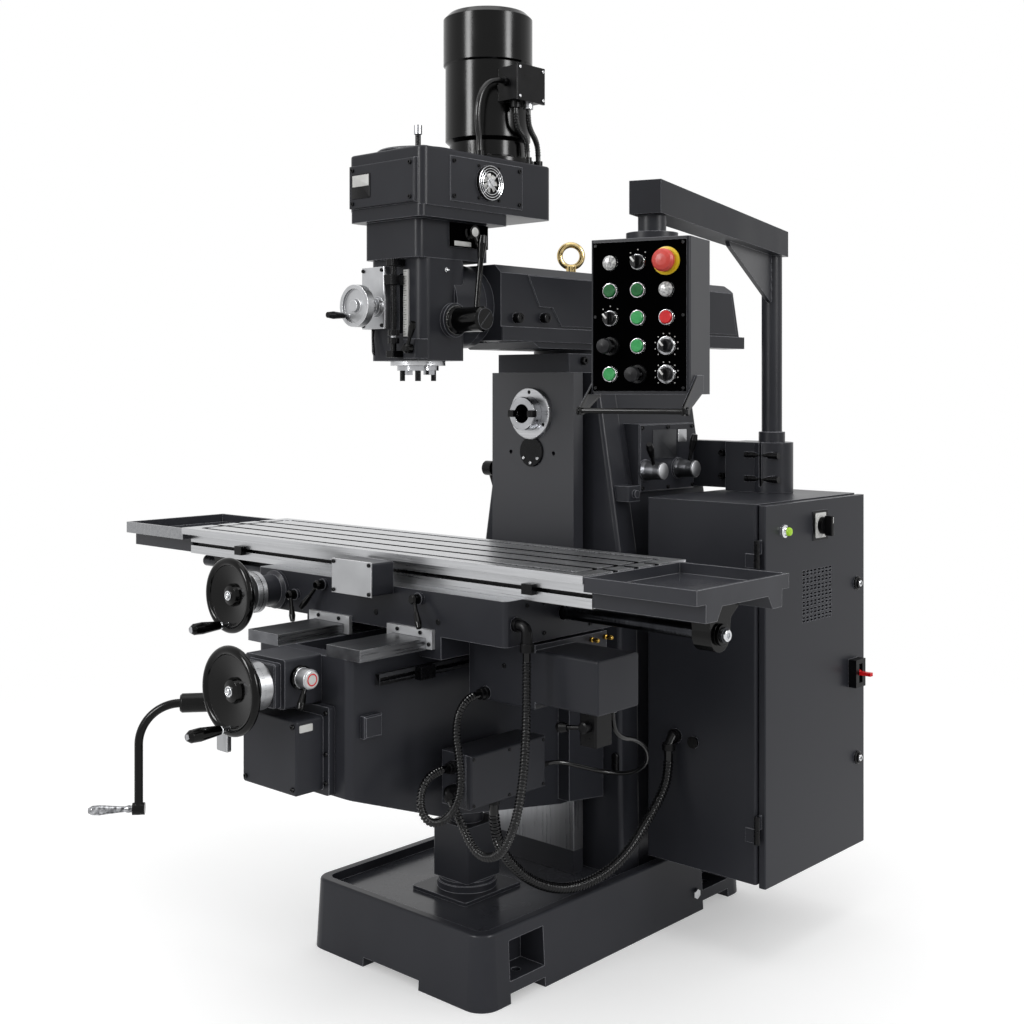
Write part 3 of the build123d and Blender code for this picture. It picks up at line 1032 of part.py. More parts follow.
# Quill lever: drum on the housing's right side with its upright lever
with BuildPart() as quill_lever:
    drum_x = HOUSING_HALF + 10 + GAP
    drum = [(0, 0), (30, 0), (30, 8), (26, 11), (26, 80), (22, 86), (0, 86)]
    turned((drum_x, QUILL_LEVER_Y, QUILL_LEVER_Z), RIGHT, drum)
    lever((151, QUILL_LEVER_Y, QUILL_LEVER_Z), (0, 0.12, 1), 6, 132, 10, 48)
quill_lever.part.label = "quill_lever"
export_step(quill_lever.part, "parts/quill_lever.step")

# Fine feed wheel on the front of the head
with BuildPart() as fine_feed_wheel:
    rim = [(0, -41.6), (10, -41.6), (10, -12), (36, -10), (36, -14), (44, -14)]
    rim += [(44, 4), (36, 4), (36, -2), (14, -2), (12, 6), (0, 6)]
    turned(FINE_WHEEL, FORWARD, rim)
    lever((FINE_WHEEL[0] - 24, FINE_WHEEL[1] + 6, FINE_WHEEL[2] - 20), FORWARD, 4, 20, 8, 44)
fine_feed_wheel.part.label = "fine_feed_wheel"
export_step(fine_feed_wheel.part, "parts/fine_feed_wheel.step")

with BuildPart() as quill_lock:
    turned((66, -450 - GAP, 1314), FORWARD, [(0, 0), (10, 0), (10, 14), (7, 18), (0, 18)])
    lever((66, -460, 1314), (0.5, -0.2, 0.84), 4, 34, 7.5, 32)
quill_lock.part.label = "quill_lock"
export_step(quill_lock.part, "parts/quill_lock.step")

with BuildPart() as range_knob:
    turned((90 + GAP, RANGE_KNOB_Y, RANGE_KNOB_Z), RIGHT, [(0, 0), (17, 0), (17, 5), (14, 8), (14, 18), (0, 18)])
    lever((102, RANGE_KNOB_Y, RANGE_KNOB_Z), (0.25, 0.3, -0.9), 4, 26, 7, 30)
range_knob.part.label = "range_knob"
export_step(range_knob.part, "parts/range_knob.step")

# Hoses between the saddle, the feed box and the knee
saddle_line, feed_line, cable_line = map(hose_route, (SADDLE_CONDUIT_ROUTE, FEED_CONDUIT_ROUTE, FEED_CABLE_ROUTE))
with BuildPart() as saddle_conduit:
    ribbed_hose(saddle_line, SADDLE_CONDUIT, SADDLE_CONDUIT_RIBS, BACKWARD)
with BuildPart() as feed_conduit:
    ribbed_hose(feed_line, FEED_CONDUIT, FEED_CONDUIT_RIBS, RIGHT)
with BuildPart() as feed_cable:
    hose(cable_line, FEED_CABLE)
save_group("saddle_hoses", saddle_conduit, feed_conduit, feed_cable)

# Hose between the knee and the cabinet
cabinet_line = hose_route(CABINET_CONDUIT_ROUTE)
with BuildPart() as cabinet_hose:
    ribbed_hose(cabinet_line, CABINET_CONDUIT, CABINET_CONDUIT_RIBS, RIGHT)
cabinet_hose.part.label = "cabinet_hose"
export_step(cabinet_hose.part, "parts/cabinet_hose.step")

# Leads of the motor: one cable and two conduits from its terminal box
motor_line = hose_route(MOTOR_CABLE_ROUTE)
with BuildPart() as motor_cable:
    hose(motor_line, MOTOR_CABLE)
with BuildPart() as motor_conduits:
    for conduit_line in map(hose_route, MOTOR_CONDUIT_ROUTES):
        ribbed_hose(conduit_line, MOTOR_CONDUIT, MOTOR_CONDUIT_RIBS, RIGHT)
save_group("motor_leads", motor_cable, motor_conduits)

# Volume of each hose over its section times its length: about 1 for plain ones, less the bore for ribbed ones
for name, piece, line, diameter in (
    ("saddle_conduit", saddle_conduit, saddle_line, SADDLE_CONDUIT),
    ("feed_conduit", feed_conduit, feed_line, FEED_CONDUIT),
    ("feed_cable", feed_cable, cable_line, FEED_CABLE),
    ("cabinet_hose", cabinet_hose, cabinet_line, CABINET_CONDUIT),
    ("motor_cable", motor_cable, motor_line, MOTOR_CABLE),
):
    share = piece.part.volume / (pi * diameter**2 / 4 * line.length)
    print(name, "length", round(line.length), "filled share", round(share, 3))
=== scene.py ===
from math import cos, pi, radians, sin

import bpy
import numpy as np
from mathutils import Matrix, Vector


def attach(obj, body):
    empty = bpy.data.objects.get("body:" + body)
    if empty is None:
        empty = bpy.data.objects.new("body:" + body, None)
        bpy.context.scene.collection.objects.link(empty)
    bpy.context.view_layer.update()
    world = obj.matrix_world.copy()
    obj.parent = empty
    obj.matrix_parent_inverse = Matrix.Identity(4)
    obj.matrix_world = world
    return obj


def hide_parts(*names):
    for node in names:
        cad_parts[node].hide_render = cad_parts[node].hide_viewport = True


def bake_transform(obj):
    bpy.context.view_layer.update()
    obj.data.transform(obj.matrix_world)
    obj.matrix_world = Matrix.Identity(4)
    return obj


# Turret milling machine: finishes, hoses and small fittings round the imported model. X runs to the
# operator's right, Y to the back and Z up from the floor, as in the model. Places are in metres; grains of
# finishes, shapes of small fittings and routes of hoses are in millimetres.
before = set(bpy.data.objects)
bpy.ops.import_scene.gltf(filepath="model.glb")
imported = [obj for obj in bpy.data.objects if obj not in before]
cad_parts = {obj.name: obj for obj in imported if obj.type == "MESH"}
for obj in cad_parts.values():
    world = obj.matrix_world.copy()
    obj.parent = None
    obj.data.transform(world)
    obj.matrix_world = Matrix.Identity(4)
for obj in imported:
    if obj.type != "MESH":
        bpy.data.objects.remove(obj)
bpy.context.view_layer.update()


# Base and column
# Iron castings, filled, rubbed down and sprayed with graphite enamel. The box slideway on the column's
# front is ground bare where the knee runs; the column is bolted and sealed to the sunk coolant deck.


def linear(colour):
    """Linear RGBA of an sRGB hex colour, by the sRGB curve."""
    srgb = np.array([int(colour[place : place + 2], 16) for place in (0, 2, 4)]) / 255
    return (*np.where(srgb <= 0.04045, srgb / 12.92, ((srgb + 0.055) / 1.055) ** 2.4), 1.0)


def add_node(finish, kind, inputs, **settings):
    """Add a shader node to a finish, set its properties and fill or link its inputs; gives its outputs."""
    made = finish.node_tree.nodes.new("ShaderNode" + kind)
    for name, value in settings.items():
        setattr(made, name, value)
    for name, value in inputs.items():
        if isinstance(value, bpy.types.NodeSocket):
            finish.node_tree.links.new(value, made.inputs[name])
        else:
            made.inputs[name].default_value = value
    return made.outputs


def make_finish(
    name, slot, tones, patch, roughness, grain, relief, edge, metallic=0.0, specular=0.5, stretch=(1, 1, 1)
):
    """Finish whose tone and gloss drift over patches, with a fine grain in relief and softened edges.

    The third tone lies along the edges, where the rounded normal leaves the flat one: a painted highlight,
    with some rubbed wear. Patch, grain, relief and edge are in millimetres; stretch scales the pattern's
    coordinates, so 0.02 draws it out fifty times.
    """
    finish = bpy.data.materials.new(name)
    finish.use_nodes = True
    finish["slot"] = slot
    surface = finish.node_tree.nodes["Principled BSDF"]
    surface.inputs["Metallic"].default_value = metallic
    surface.inputs["Specular IOR Level"].default_value = specular
    place = add_node(finish, "TexCoord", {})["Object"]
    place = add_node(finish, "Mapping", {"Vector": place, "Scale": stretch})["Vector"]
    drift = add_node(finish, "TexNoise", {"Vector": place, "Scale": 1000 / patch, "Detail": 5.0})["Fac"]
    spread = {"Value": drift, "From Min": 0.32, "From Max": 0.68}
    share = add_node(finish, "MapRange", spread)["Result"]
    gloss = {**spread, "To Min": roughness[0], "To Max": roughness[1]}
    gloss = add_node(finish, "MapRange", gloss)["Result"]
    rounded = add_node(finish, "Bevel", {"Radius": edge / 1000}, samples=6)["Normal"]
    flat = add_node(finish, "NewGeometry", {})["Normal"]
    agree = add_node(finish, "VectorMath", {0: rounded, 1: flat}, operation="DOT_PRODUCT")["Value"]
    # The edge's painted highlight comes in between 4 and 22 degrees of turn, whose cosines these are.
    turn = {"Value": agree, "From Min": 0.997, "From Max": 0.93, "To Min": 0.0, "To Max": 0.85}
    rim = add_node(finish, "MapRange", turn)["Result"]
    dark, light, edge_highlight_and_wear = map(linear, tones.split())
    colour = add_node(finish, "Mix", {0: share, 6: dark, 7: light}, data_type="RGBA")[2]
    colour = add_node(finish, "Mix", {0: rim, 6: colour, 7: edge_highlight_and_wear}, data_type="RGBA")[2]
    speck = add_node(finish, "TexNoise", {"Vector": place, "Scale": 1000 / grain, "Detail": 2.0})["Fac"]
    bump = {"Height": speck, "Distance": relief / 1000, "Normal": rounded}
    normal = add_node(finish, "Bump", bump)["Normal"]
    for socket, value in (("Base Color", colour), ("Roughness", gloss), ("Normal", normal)):
        finish.node_tree.links.new(value, surface.inputs[socket])
    return finish


def paint_beyond(finish, low, high, paint):
    """Paint a bare finish below and above two heights, where its ground stretch ends."""
    surface = finish.node_tree.nodes["Principled BSDF"]
    place = add_node(finish, "TexCoord", {})["Object"]
    height = add_node(finish, "SeparateXYZ", {0: place})["Z"]
    away = add_node(finish, "Math", {0: height, 1: (low + high) / 2}, operation="SUBTRACT")[0]
    away = add_node(finish, "Math", {0: away}, operation="ABSOLUTE")[0]
    half = (high - low) / 2
    step = {"Value": away, "From Min": half, "From Max": half + 0.002, "To Min": 1.0, "To Max": 0.0}
    bare = add_node(finish, "MapRange", step)["Result"]
    steel = surface.inputs["Base Color"].links[0].from_socket
    mixed = add_node(finish, "Mix", {0: bare, 6: linear(paint), 7: steel}, data_type="RGBA")[2]
    gloss = surface.inputs["Roughness"].links[0].from_socket
    gloss = add_node(finish, "Mix", {0: bare, 2: 0.34, 3: gloss})[0]
    finish.node_tree.links.new(mixed, surface.inputs["Base Color"])
    finish.node_tree.links.new(gloss, surface.inputs["Roughness"])
    finish.node_tree.links.new(bare, surface.inputs["Metallic"])
    finish.node_tree.links.new(bare, finish.node_tree.nodes["Bump"].inputs["Strength"])
    return finish


def dress(name, finish, *areas):
    """Give a CAD node its finish, and each (finish, test) area its own; a later area lies over an earlier.

    The test takes the x, y and z of the triangles' centres as arrays and tells which are in the area.
    """
    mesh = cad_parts[name].data
    centres = np.empty(len(mesh.polygons) * 3)
    mesh.polygons.foreach_get("center", centres)
    chosen = np.zeros(len(mesh.polygons), np.int32)
    mesh.materials.clear()
    mesh.materials.append(finish)
    for place, (area_finish, test) in enumerate(areas, 1):
        mesh.materials.append(area_finish)
        chosen[test(*centres.reshape(-1, 3).T)] = place
    mesh.polygons.foreach_set("material_index", chosen)


def crate(x=(-9, 9), y=(-9, 9), z=(-9, 9)):
    """Test for triangles whose centres lie inside a box."""
    low, high = np.array([x, y, z]).T[:, :, None]
    return lambda *place: ((np.array(place) > low) & (np.array(place) < high)).all(0)


def disc(axis, centre, radius, low=-9.0, high=9.0):
    """Test for triangles within a radius of a line along an axis and between two places on that axis."""

    def test(*place):
        across, up = (place[other] for other in range(3) if other != axis)
        near = np.hypot(across - centre[0], up - centre[1]) < radius
        return near & (place[axis] > low) & (place[axis] < high)

    return test


# Sprayed two-pack enamel on filled iron: even dark grey, a soft sheen with a faint orange peel of about
# 2 mm, and a paler line where edges catch the light.
graphite_enamel = make_finish(
    "graphite_enamel_sprayed", "grey_paint", "2a2b30 303136 b0b1b8", 220, (0.28, 0.38),
    grain=2.2, relief=0.02, edge=1.4, specular=0.16,
)
# The same enamel under a film of coolant: smoother, with its tone painted a little paler as the film's
# sheen.
sheen_painted_enamel = make_finish(
    "graphite_enamel_painted_sheen", "grey_paint", "36373c 3e3f44 acadb2", 120, (0.16, 0.26),
    grain=4, relief=0.02, edge=1.4, specular=0.22,
)
# Ground steel: fine scratches along the way of grinding, drawn 0.8 mm wide so that they show, with a
# streaky reflection.
ground_steel = make_finish(
    "steel_ground", "steel", "b0b1b3 bdbec0 e6e6e7", 3, (0.26, 0.36),
    grain=0.8, relief=0.006, edge=0.5, metallic=1.0, stretch=(0.02, 1, 1),
)
# Slideways are ground the same way, upright, and hold a film of oil that darkens them.
oiled_slideway = make_finish(
    "steel_ground_oiled", "steel", "a6a7aa b4b5b8 dcdddf", 6, (0.26, 0.34),
    grain=0.8, relief=0.006, edge=0.5, metallic=1.0, stretch=(1, 1, 0.03),
)
# On the column the ground stretch ends in paint at both ends of the knee's travel.
column_slideway = paint_beyond(oiled_slideway.copy(), 0.184, 0.720, "2d2e33")
DECK_Z = 0.130
dress("base", graphite_enamel, (sheen_painted_enamel, crate(z=(DECK_Z - 0.0005, DECK_Z + 0.0005))))
slideway_faces = crate(x=(-0.1265, 0.1265), y=(-0.001, 0.0335), z=(0.1, 1.2685))
dress("column", graphite_enamel, (column_slideway, slideway_faces))
dress("screw_stand", graphite_enamel)
dress("knee_screws", oiled_slideway)


# Drain plug
# A bright hexagon plug closes the coolant drain beside the rear anchor pocket, screwed into the casting.
RIGHT, BACK, FORWARD, UP = (1, 0, 0), (0, 1, 0), (0, -1, 0), (0, 0, 1)
SHARP_ANGLE = radians(35)


def turned(profile, sides=32):
    """Rings of a turned shape about +Z: each (radius, height) of the profile swept round the circle."""
    radius, height = np.asarray(profile, float).T[:, :, None]
    angle = np.arange(sides) / sides * 2 * pi
    return np.stack(np.broadcast_arrays(radius * np.cos(angle), radius * np.sin(angle), height), -1)


def band(inner, outer, low, high, sides=32):
    """Rings of a hoop about +Z with a square section, for a piece that is looped."""
    return turned([(inner, low), (outer, low), (outer, high), (inner, high)], sides)


def hexagon_reach(angle):
    """Reach of a hexagon at an angle, for 1 at the middle of a side: 1 / cos of the angle from there."""
    return 1 / np.cos((angle + pi / 6) % (pi / 3) - pi / 6)


def hexagon(profile):
    """Rings of a six-sided shape about +Z: a turned shape whose radius grows towards six corners."""
    rings = turned(profile, 24)
    rings[..., :2] *= hexagon_reach(np.arange(24) / 24 * 2 * pi)[:, None]
    return rings


def at_places(shape, places, out, up=UP):
    """Copies of a shape at places in metres, its Z axis turned to out and its Y axis leaning to up."""
    z = np.asarray(out, float) / np.linalg.norm(out)
    x = np.cross(up, z) if np.linalg.norm(np.cross(up, z)) > 0.01 else np.array([1.0, 0, 0])
    x = x / np.linalg.norm(x)
    return np.asarray(places, float).reshape(-1, 1, 1, 3) + shape @ np.stack([x, np.cross(z, x), z]) / 1000


def add_object(name, data):
    """New object in the scene that shows the data: a mesh, a lamp or a camera."""
    made = bpy.data.objects.new(name, data)
    bpy.context.scene.collection.objects.link(made)
    return made


def add_piece(name, stacks, finish, body, looped=False):
    """One piece from stacks of rings: quads join neighbouring rings, and the end rings are closed by a
    flat face, or joined to each other where the profile is looped. It rides on body."""
    stacks = np.asarray(stacks, float)
    count, rows, columns, _ = stacks.shape
    cell = np.arange(rows * columns).reshape(rows, columns)
    low, high = (cell, np.roll(cell, -1, 0)) if looped else (cell[:-1], cell[1:])
    quads = np.stack([low, np.roll(low, -1, 1), np.roll(high, -1, 1), high], -1).reshape(-1, 4)
    offsets = np.arange(count)[:, None, None] * rows * columns
    faces = (quads + offsets).reshape(-1, 4).tolist()
    if not looped:
        caps = np.stack([cell[0, ::-1], cell[-1]])
        faces += (caps + offsets).reshape(-1, columns).tolist()
    mesh = bpy.data.meshes.new(name)
    mesh.from_pydata(stacks.reshape(-1, 3).tolist(), [], faces)
    mesh.polygons.foreach_set("use_smooth", np.ones(len(mesh.polygons), bool))
    mesh.set_sharp_from_angle(angle=SHARP_ANGLE)
    mesh.materials.append(finish)
    piece = add_object(name, mesh)
    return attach(piece, body) if body else piece


def fit_piece(name, shape, places, out, finish, body, up=UP, looped=False):
    """One piece made of copies of a shape at places, standing out of what carries them."""
    add_piece(name, at_places(shape, places, out, up), finish, body, looped)


# Nickel-chrome plate: clear mirror with a few soft dull patches.
chrome_plate = make_finish(
    "chrome_plated_steel", "silver", "c4c6c8 dcdddf f2f2f3", 20, (0.06, 0.14),
    grain=2, relief=0.004, edge=0.4, metallic=1.0,
)
DRAIN = (0.263, 0.281, 0.045)
drain_plug = hexagon([(11, 0), (11, 7), (9.5, 9)])
fit_piece("drain_plug", drain_plug, DRAIN, RIGHT, chrome_plate, "frame")


# Fittings on the column
# The spindle flange is a ground ring held by sunk socket screws; under it sits a blank cover. The speed
# gearbox cover, the arm's clamp block and the rear cover are painted plates on black socket screws.


def screw_head(radius, height, lobes=6):
    """Rings of a screw head about +Z with a recess in its top: six flat sides, or a cross of four lobes."""
    bore = 0.5 * radius
    top = [(radius, 0), (radius, 0.75 * height), (0.86 * radius, height), (1.12 * bore, height)]
    rings = turned([*top, (bore, 0.97 * height), (0.96 * bore, 0.35 * height)], 24)
    angle = np.arange(24) / 24 * 2 * pi
    cross = 0.34 + 0.78 * np.abs(np.cos(2 * angle)) ** 5
    rings[-2:, :, :2] *= (0.92 * hexagon_reach(angle) if lobes == 6 else cross)[:, None]
    return rings


def slab(width, length, height, corner, edge):
    """Rings of a flat plate about +Z: a rounded rectangle, drawn in along its upper edge."""
    sign_x, sign_y = np.repeat([1, -1, -1, 1], 5), np.repeat([1, 1, -1, -1], 5)
    angle = (np.arange(4)[:, None] * pi / 2 + np.linspace(0, pi / 2, 5)).ravel()
    inset = np.array([0, 0, 0.3 * edge, edge])[:, None]
    level = np.array([0, height - edge, height - 0.3 * edge, height])[:, None]
    round_x, round_y = (corner - inset) * np.cos(angle), (corner - inset) * np.sin(angle)
    x, y = sign_x * (width / 2 - corner) + round_x, sign_y * (length / 2 - corner) + round_y
    return np.stack(np.broadcast_arrays(x, y, level), -1)


def grid(x, y, z):
    """Places at every crossing of x, y and z, each of which is one value or several."""
    return np.stack(np.meshgrid(x, y, z, indexing="ij"), -1).reshape(-1, 3)


def circle_places(centre, radius, angles, across, up):
    """Points on a circle about a centre, at angles in degrees from the across direction towards up."""
    angle = np.radians(angles)[:, None]
    spoke = np.cos(angle) * np.asarray(across) + np.sin(angle) * np.asarray(up)
    return np.asarray(centre) + radius * spoke


# Black oxide on steel: blue-black, half matt, with a paler edge tone that is partly rubbed steel and partly
# painted highlight.
black_oxide = make_finish(
    "steel_black_oxide", "black_paint", "060608 0a0a0c 38393c", 10, (0.22, 0.34),
    grain=0.6, relief=0.01, edge=0.6, specular=0.16,
)
# Anodised aluminium left bare of print: satin dark grey.
dark_plate = make_finish(
    "aluminium_anodised_dark", "black_plastic", "2e2f32 38393c 7a7b7e", 30, (0.34, 0.44),
    grain=0.6, relief=0.005, edge=0.4, metallic=0.3, specular=0.3,
)
# Satin aluminium: even, pale and a little milky from a fine blast.
satin_aluminium = make_finish(
    "aluminium_satin", "silver", "9fa0a2 a9aaac f0f0f1", 60, (0.34, 0.42),
    grain=0.6, relief=0.006, edge=1.2, metallic=1.0,
)
# White enamel plate, bare of print.
white_plate = make_finish(
    "enamel_plate_white", "silver", "d6d6d3 e2e2df f2f2f0", 20, (0.30, 0.40),
    grain=0.8, relief=0.004, edge=0.3,
)


def add_screws(name, places, out, body, radius, height, finish=black_oxide, lobes=6):
    """One piece made of like screw heads at places, standing out of the face that they hold."""
    fit_piece(name, screw_head(radius, height, lobes), places, out, finish, body)


FLANGE_Z, COVER_Z = 1.173, 1.084
dress(
    "column_fittings", graphite_enamel,
    (black_oxide, disc(1, (0, COVER_Z), 0.0355, high=-0.0002)),
    (ground_steel, disc(1, (0, FLANGE_Z), 0.0605, high=-0.0002)),
    *((black_oxide, crate((0.333, 0.5), (0.379, 0.397), (z - 0.0085, z + 0.0085))) for z in (1.018, 1.074)),
)
flange_screws = circle_places((0, -0.0052, FLANGE_Z), 0.0495, (90, 210, 330), RIGHT, UP)
add_screws("flange_screws", flange_screws, FORWARD, "frame", 4.2, 4.5)
cover_screws = circle_places((0, -0.005, COVER_Z), 0.026, (215, 270, 325), RIGHT, UP)
add_screws("blank_cover_screws", cover_screws, FORWARD, "frame", 3.5, 2.5, finish=satin_aluminium)
SPEED_FACE = 0.200
add_screws(
    "speed_cover_screws", grid(SPEED_FACE, (0.160, 0.2595, 0.359), (0.999, 1.140)), RIGHT, "frame", 4.8, 4,
)
fit_piece("speed_plate", slab(92, 68, 1.2, 3, 0.4), (SPEED_FACE, 0.247, 1.100), RIGHT, dark_plate, "frame")
fit_piece(
    "speed_small_plate", slab(34, 30, 1, 2, 0.3), (SPEED_FACE, 0.319, 1.118), RIGHT, satin_aluminium,
    "frame",
)
add_screws("arm_web_bolts", grid(0.262, 0.400, (1.020, 1.076)), FORWARD, "frame", 8.5, 9)
add_screws("seat_bolt", (0.110, 0.053, 1.295), RIGHT, "frame", 9.5, 10)
add_screws(
    "rear_cover_screws", grid((-0.108, 0.108), 0.453, (0.434, 0.580, 0.740, 0.886)), BACK, "frame", 5.5, 4,
)
fit_piece("column_grommet", slab(18, 46, 7, 8.5, 3), (0.201, 0.060, 0.385), FORWARD, black_oxide, "frame")


# Horizontal spindle and speed levers
# The spindle is hardened and ground, with two drive keys held in slots across its nose. Each speed drum is
# turned steel with a satin end disc, and its lever is black steel with a moulded grip.
# Turned steel: fine rings from the tool, bright, with a soft dark film in the hollows.
turned_steel = make_finish(
    "steel_turned", "steel", "97989b b4b5b8 dcdddf", 50, (0.16, 0.26),
    grain=0.6, relief=0.005, edge=0.5, metallic=1.0,
)
# Phenolic moulding, polished: deep black with a clear mirror and faint swirl.
polished_phenolic = make_finish(
    "phenolic_moulded_polished", "black_paint", "020202 030303 101012", 50, (0.10, 0.16),
    grain=6, relief=0.01, edge=1, specular=0.17,
)
# Nylon and similar mouldings: black, even and half matt.
moulded_black = make_finish(
    "nylon_moulded_black", "black_plastic", "070708 0b0b0d 2a2a2d", 30, (0.26, 0.38),
    grain=0.8, relief=0.01, edge=0.7, specular=0.14,
)
TAPER_RADIUS = 0.0224
dress("arbor_spindle", turned_steel, (black_oxide, disc(1, (0, FLANGE_Z), TAPER_RADIUS - 0.0005)))
nose_keys = [(side * 0.0300, -0.0285, FLANGE_Z) for side in (-1, 1)]
fit_piece("arbor_keys", slab(16.6, 15.6, 13.5, 0.8, 0.6), nose_keys, FORWARD, black_oxide, "arbor_spindle")
# Drums of dull turned steel, dark with handling.
dull_steel = make_finish(
    "steel_turned_dull", "steel", "56575a 6a6b6e c2c3c5", 30, (0.32, 0.40),
    grain=0.6, relief=0.006, edge=0.6, metallic=1.0,
)
DRUM_END, DRUM_Z = 0.2534, 1.041
for lever_body, drum_y in (("speed_lever_left", 0.170), ("speed_lever_right", 0.300)):
    dress(lever_body, moulded_black, (dull_steel, disc(0, (drum_y, DRUM_Z), 0.0245)))
    end_disc = turned([(18.5, -0.5), (18.5, 0.6), (17.8, 1)])
    fit_piece(
        f"{lever_body}_disc", end_disc, (DRUM_END, drum_y, DRUM_Z), RIGHT, satin_aluminium, lever_body,
    )
dress("back_gear_lever", moulded_black)


# Cabinet and door
# Folded steel sheet, spot welded and powder coated, hung on the column by two rails. The door turns on
# lift-off hinges; lamp, main switch, breaker and two quarter-turn locks are clamped through its sheet.
# Powder coat on sheet: the same graphite, flatter and smoother than the castings.
powder_coat = make_finish(
    "steel_sheet_powder_coated", "grey_paint", "2a2b30 2f3035 a6a7ae", 300, (0.32, 0.40),
    grain=1.2, relief=0.01, edge=1.2, specular=0.16,
)
# Red moulding: bright and half glossy.
red_moulding = make_finish(
    "abs_moulded_red", "red_plastic", "da141b ee1c24 f06062", 20, (0.26, 0.36),
    grain=1, relief=0.006, edge=0.6, specular=0.18,
)
# Clear yellow-green lens over a small lamp: glossy, faintly lit from inside.
green_lens = make_finish(
    "polycarbonate_lens_green", "green_plastic", "86b022 a6d02e d6ee86", 8, (0.06, 0.12),
    grain=1, relief=0.004, edge=0.5, specular=0.3,
)
lit = green_lens.node_tree.nodes["Principled BSDF"].inputs
lit["Emission Color"].default_value = linear("a6d836")
lit["Emission Strength"].default_value = 0.3
HINGE_LINE = (0.543, 0.106)
DOOR_FACE = 0.555
SWITCH, LAMP, LOCKS = (0.348, 0.925), (0.195, 0.923), ((0.519, 0.370), (0.519, 0.777))
dress(
    "cabinet", powder_coat,
    (black_oxide, disc(2, HINGE_LINE, 0.0066)),
    (moulded_black, crate((0.30, 0.40), (0.0, 0.1118), (0.425, 0.480))),
)
dress(
    "cabinet_door", powder_coat,
    (black_oxide, disc(2, HINGE_LINE, 0.0066)),
    *((black_oxide, disc(0, lock, 0.017, DOOR_FACE + 0.0003)) for lock in LOCKS),
    (chrome_plate, disc(0, LAMP, 0.0145, DOOR_FACE + 0.0003)),
    (moulded_black, crate((DOOR_FACE + 0.0003, 0.6), (0.314, 0.382), (0.891, 0.959))),
    (white_plate, disc(0, SWITCH, 0.0245, DOOR_FACE + 0.0022)),
    (moulded_black, crate((DOOR_FACE + 0.0003, 0.6), (0.4775, 0.5225), (0.5395, 0.6045))),
)
dress("main_switch", moulded_black)
dress("breaker_lever", red_moulding)
dress("control_gear", satin_aluminium, (moulded_black, crate(x=(0.2582, 1), z=(0.45, 1))))
switch_plate = slab(46, 56, 0.8, 3, 0.3)
fit_piece("main_switch_plate", switch_plate, (DOOR_FACE + 0.002, *SWITCH), RIGHT, white_plate, "door")
lens = turned([(9.2, -2), (9.2, 2), (7.8, 4.8), (4.4, 6.2), (1.2, 6.6)])
fit_piece("lamp_lens", lens, (0.5672, *LAMP), RIGHT, green_lens, "door")
pointer = slab(2.2, 14, 0.7, 0.8, 0.2)
fit_piece(
    "main_switch_mark", pointer, (0.58835, SWITCH[0], SWITCH[1] + 0.013), RIGHT, white_plate, "main_switch",
)
lock_cores = [(0.5625, *lock) for lock in LOCKS]
add_screws("door_lock_cores", lock_cores, RIGHT, "door", 7.5, 3, finish=chrome_plate)
vent_bars = [(DOOR_FACE - 0.0014, 0.336, 0.772 + row * 0.017) for row in range(-3, 4)]
fit_piece("vent_bars", slab(128, 3.6, 1.2, 0.4, 0.3), vent_bars, RIGHT, powder_coat, "door")


# Pendant arm and pendant
# The post and square beam are welded tube. The pendant is a folded housing with a black panel; push
# buttons, selectors, lamps and knobs are 22 mm units clamped in it, and a steel bar guards them.
# Polyester film over the panel: satin black, with no mirror.
panel_film = make_finish(
    "polyester_film_black", "black_plastic", "030303 040405 161618", 40, (0.34, 0.42),
    grain=0.9, relief=0.005, edge=0.5, specular=0.0,
)
# Yellow moulding under the emergency stop.
yellow_moulding = make_finish(
    "abs_moulded_yellow", "silver", "f2d010 fadc1a fbea80", 20, (0.28, 0.38),
    grain=1, relief=0.006, edge=0.5, specular=0.3,
)
# The emergency stop's cap is a paler, sun-faded red.
pale_red_moulding = make_finish(
    "abs_moulded_pale_red", "red_plastic", "d8463f e2544b ef8a80", 20, (0.30, 0.40),
    grain=1, relief=0.006, edge=0.8, specular=0.3,
)
# Green push button caps: glossy, two shades by the circuit that they start.
dark_green_cap, light_green_cap = (
    make_finish(
        f"abs_moulded_{shade}_green", "green_plastic", tones, 10, (0.20, 0.30),
        grain=1, relief=0.005, edge=0.6, specular=0.16,
    )
    for shade, tones in (("dark", "045c24 08702e 4a9a68"), ("light", "37a85a 46b868 92dca8"))
)
# Moulded rubber on the joysticks: flat black, a little dusty.
soft_rubber = make_finish(
    "rubber_moulded", "black_plastic", "161618 202022 48484b", 10, (0.40, 0.5),
    grain=1, relief=0.01, edge=0.8, specular=0.14,
)
# Clear lamp lens over a reflector: white, with grey patches of about 4 mm painted as reflections in its
# facets.
lamp_lens = make_finish(
    "polycarbonate_lens_clear", "silver", "77787a f0f0ee f6f6f5", 4, (0.10, 0.18),
    grain=2, relief=0.04, edge=0.4, specular=0.4,
)
# Chromed bezels: small turned rings, with dark and white patches of about 7 mm painted as reflections of
# the dark panel and the white floor side by side.
chrome_painted_reflections = make_finish(
    "zinc_chromed_painted_reflections", "silver", "3a3b3d b6b7ba f0f0f1", 7, (0.10, 0.20),
    grain=2, relief=0.004, edge=1, metallic=1.0,
)
# Gloss enamel: black with a clear, soft-edged mirror.
gloss_enamel = make_finish(
    "steel_gloss_enamel", "black_paint", "030303 050505 161616", 100, (0.16, 0.22),
    grain=8, relief=0.02, edge=1.5, specular=0.17,
)
PENDANT, TURN = np.array((0.633, -0.387, 0)), radians(15)
PANEL_ACROSS, PANEL_OUT = np.array((cos(TURN), sin(TURN), 0)), np.array((sin(TURN), -cos(TURN), 0))
PANEL_COLUMNS, PANEL_ROWS = (-0.057, -0.004, 0.050), (1.457, 1.407, 1.358, 1.308, 1.258)
PANEL_FACE, PANEL_FOOT = 0.058, 1.2222


